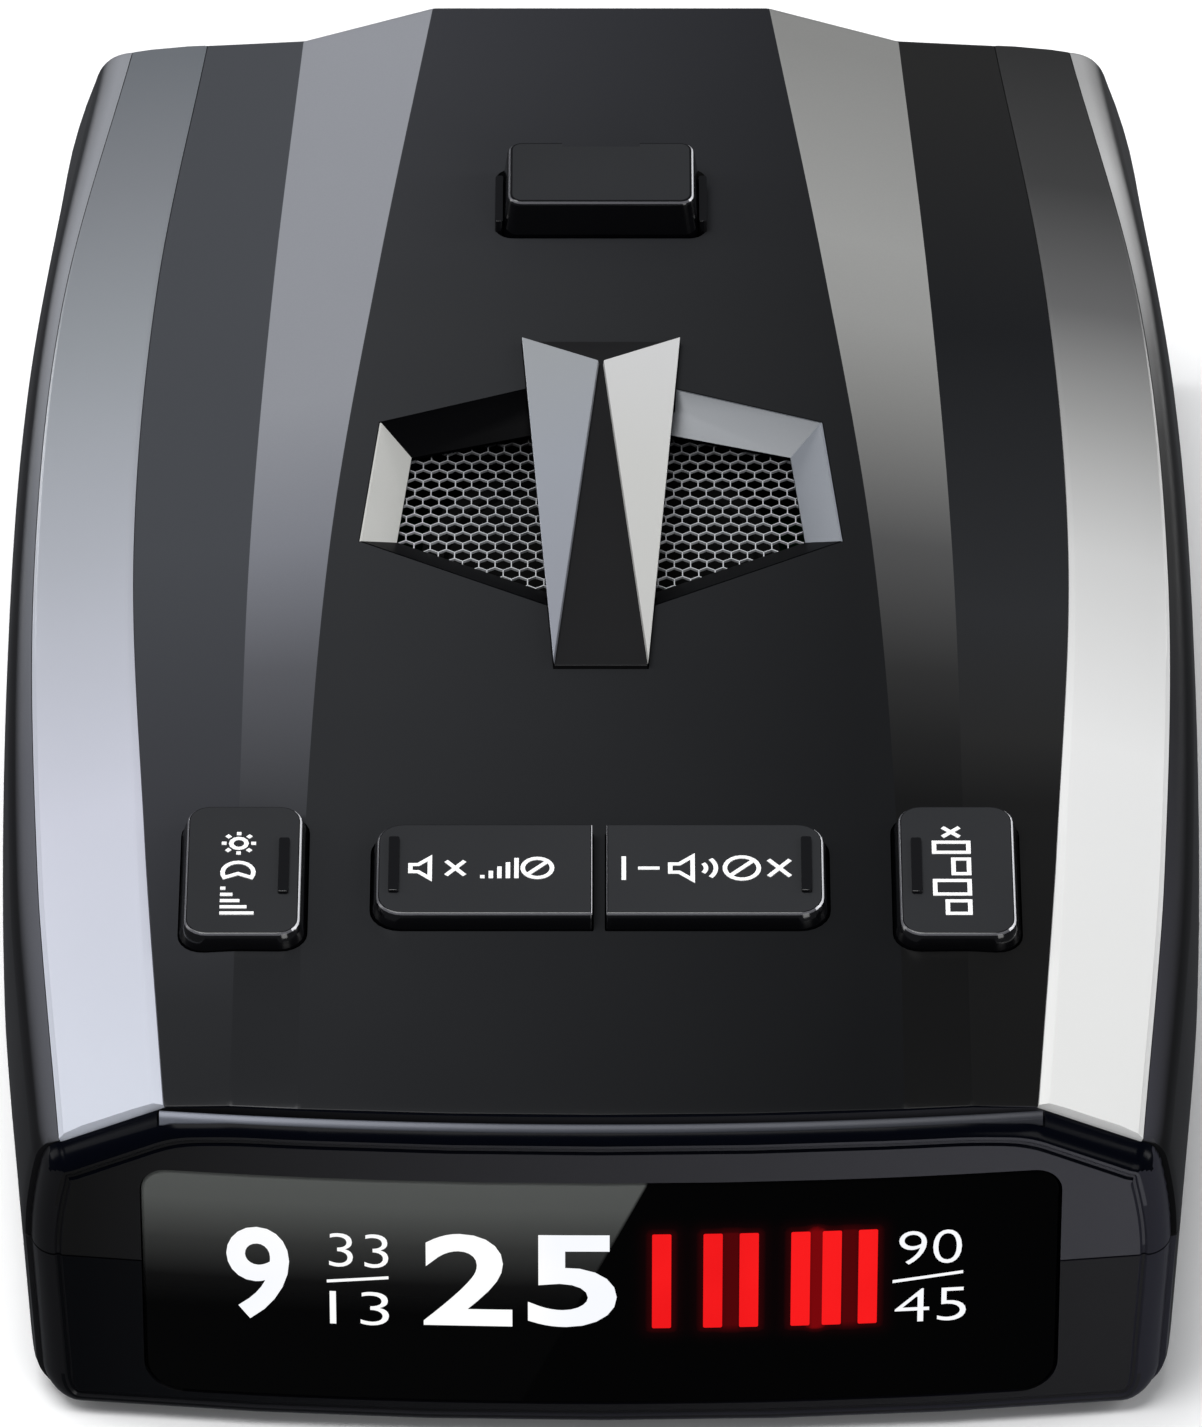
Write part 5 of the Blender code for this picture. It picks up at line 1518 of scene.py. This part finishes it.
def make_wheel():
    x, y, z = WHEEL_CENTRE
    teeth = 60
    half = WHEEL_THICK / 2
    rings = []
    for height, radius_in in ((-half, 0.35), (-half + 0.3, 0.0), (half - 0.3, 0.0), (half, 0.35)):
        ring = []
        for k in range(4 * teeth):
            angle = math.pi * k / (2 * teeth)
            notch = WHEEL_NOTCH if k % 4 in (0, 1) else 0.0
            radius = WHEEL_RADIUS - radius_in - notch
            ring.append((x + radius * math.cos(angle), y + radius * math.sin(angle), z + height))
        rings.append(ring)
    for height in (half, -half):
        rings.append([(a, b, z + height) for a, b in circle(WHEEL_BORE, 4 * teeth, (x, y))])
    piece("dial_wheel", loft(rings, closed=True), "rubber", "volume_dial",
          ["volume_wheel"], smooth=25.0)


def make_jack():
    y, z = JACK_PLACE
    face_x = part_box("power_jack")[0].x / MM
    profile = [(0.9, -27.0), (0.9, face_x + 0.25), (1.15, face_x)]
    profile += [(1.7, face_x), (1.9, face_x + 0.2), (1.9, -31.5)]
    rings = []
    for radius, x in profile:
        rings.append([(x, y + a, z + b) for a, b in circle(radius, 32)])
    block = box((-32.4, y - 4.0, 3.0), (-26.9, y + 4.0, 10.2))
    piece("jack_body", block, "jack", stands_for=["power_jack"],
          cuts=[sideways(prism(circle(1.85, 32, JACK_PLACE), -40.0, -20.0))])
    piece("jack_nose", loft(rings, closed=True), "jack")
    piece("jack_pin", sideways(prism(circle(0.28, 16, JACK_PLACE), -33.6, -26.5)), "contact",
          bevel=0.1)


PLAIN_NODES = {
    "legend_mask": "inside", "bar_light_guide": "red_light", "display_board": "board",
    "speaker_basket": "cone", "speaker_magnet": "zinc", "main_board": "board", "rf_board": "board",
    "horn_antenna": "zinc", "laser_lens": "filter", "laser_sensor": "switch", "volume_pot": "switch",
    "release_latch": "jack", "release_spring": "steel", "bracket_sleeve": "inside",
    "dim_switch": "switch", "mute_switch": "switch", "imute_switch": "switch", "city_switch": "switch",
}


def dress_cad_nodes():
    for name, key in PLAIN_NODES.items():
        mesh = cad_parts[name].data
        mesh.materials.clear()
        mesh.materials.append(FINISHES[key])


def make_rear_window():
    piece("rear_filter", rear_window_prism(0.0, REAR_Y - 1.8, REAR_Y - 0.1), "filter",
          stands_for=["rear_window"], bevel=0.25)


FLOOR_Z = -0.3 * MM  # just under the base, so that the two don't share a plane


def make_floor():
    size = 1.6
    material = finish(
        "pale_floor", (254, 254, 254), 0.9, grain=2.0, bump=0.0, mottle=0.004, specular=0.0
    )
    mesh = bpy.data.meshes.new("floor")
    corners = [(x * size, y * size, FLOOR_Z) for x, y in ((-1, -1), (1, -1), (1, 1), (-1, 1))]
    mesh.from_pydata(corners, [], [(0, 1, 2, 3)])
    mesh.materials.append(material)
    floor = bpy.data.objects.new("floor", mesh)
    bpy.context.scene.collection.objects.link(floor)
    floor.visible_glossy = False


def main():
    make_camera()
    make_studio()
    make_finishes()
    make_floor()
    read_keys()
    make_top_cover()
    make_bottom_cover()
    make_stripes()
    make_hood_line()
    make_lens()
    make_bars()
    make_figures()
    make_keys()
    make_release()
    make_bezel()
    make_grille()
    make_badge()
    make_screws()
    make_label()
    make_wheel()
    make_jack()
    make_rear_window()
    dress_cad_nodes()


main()
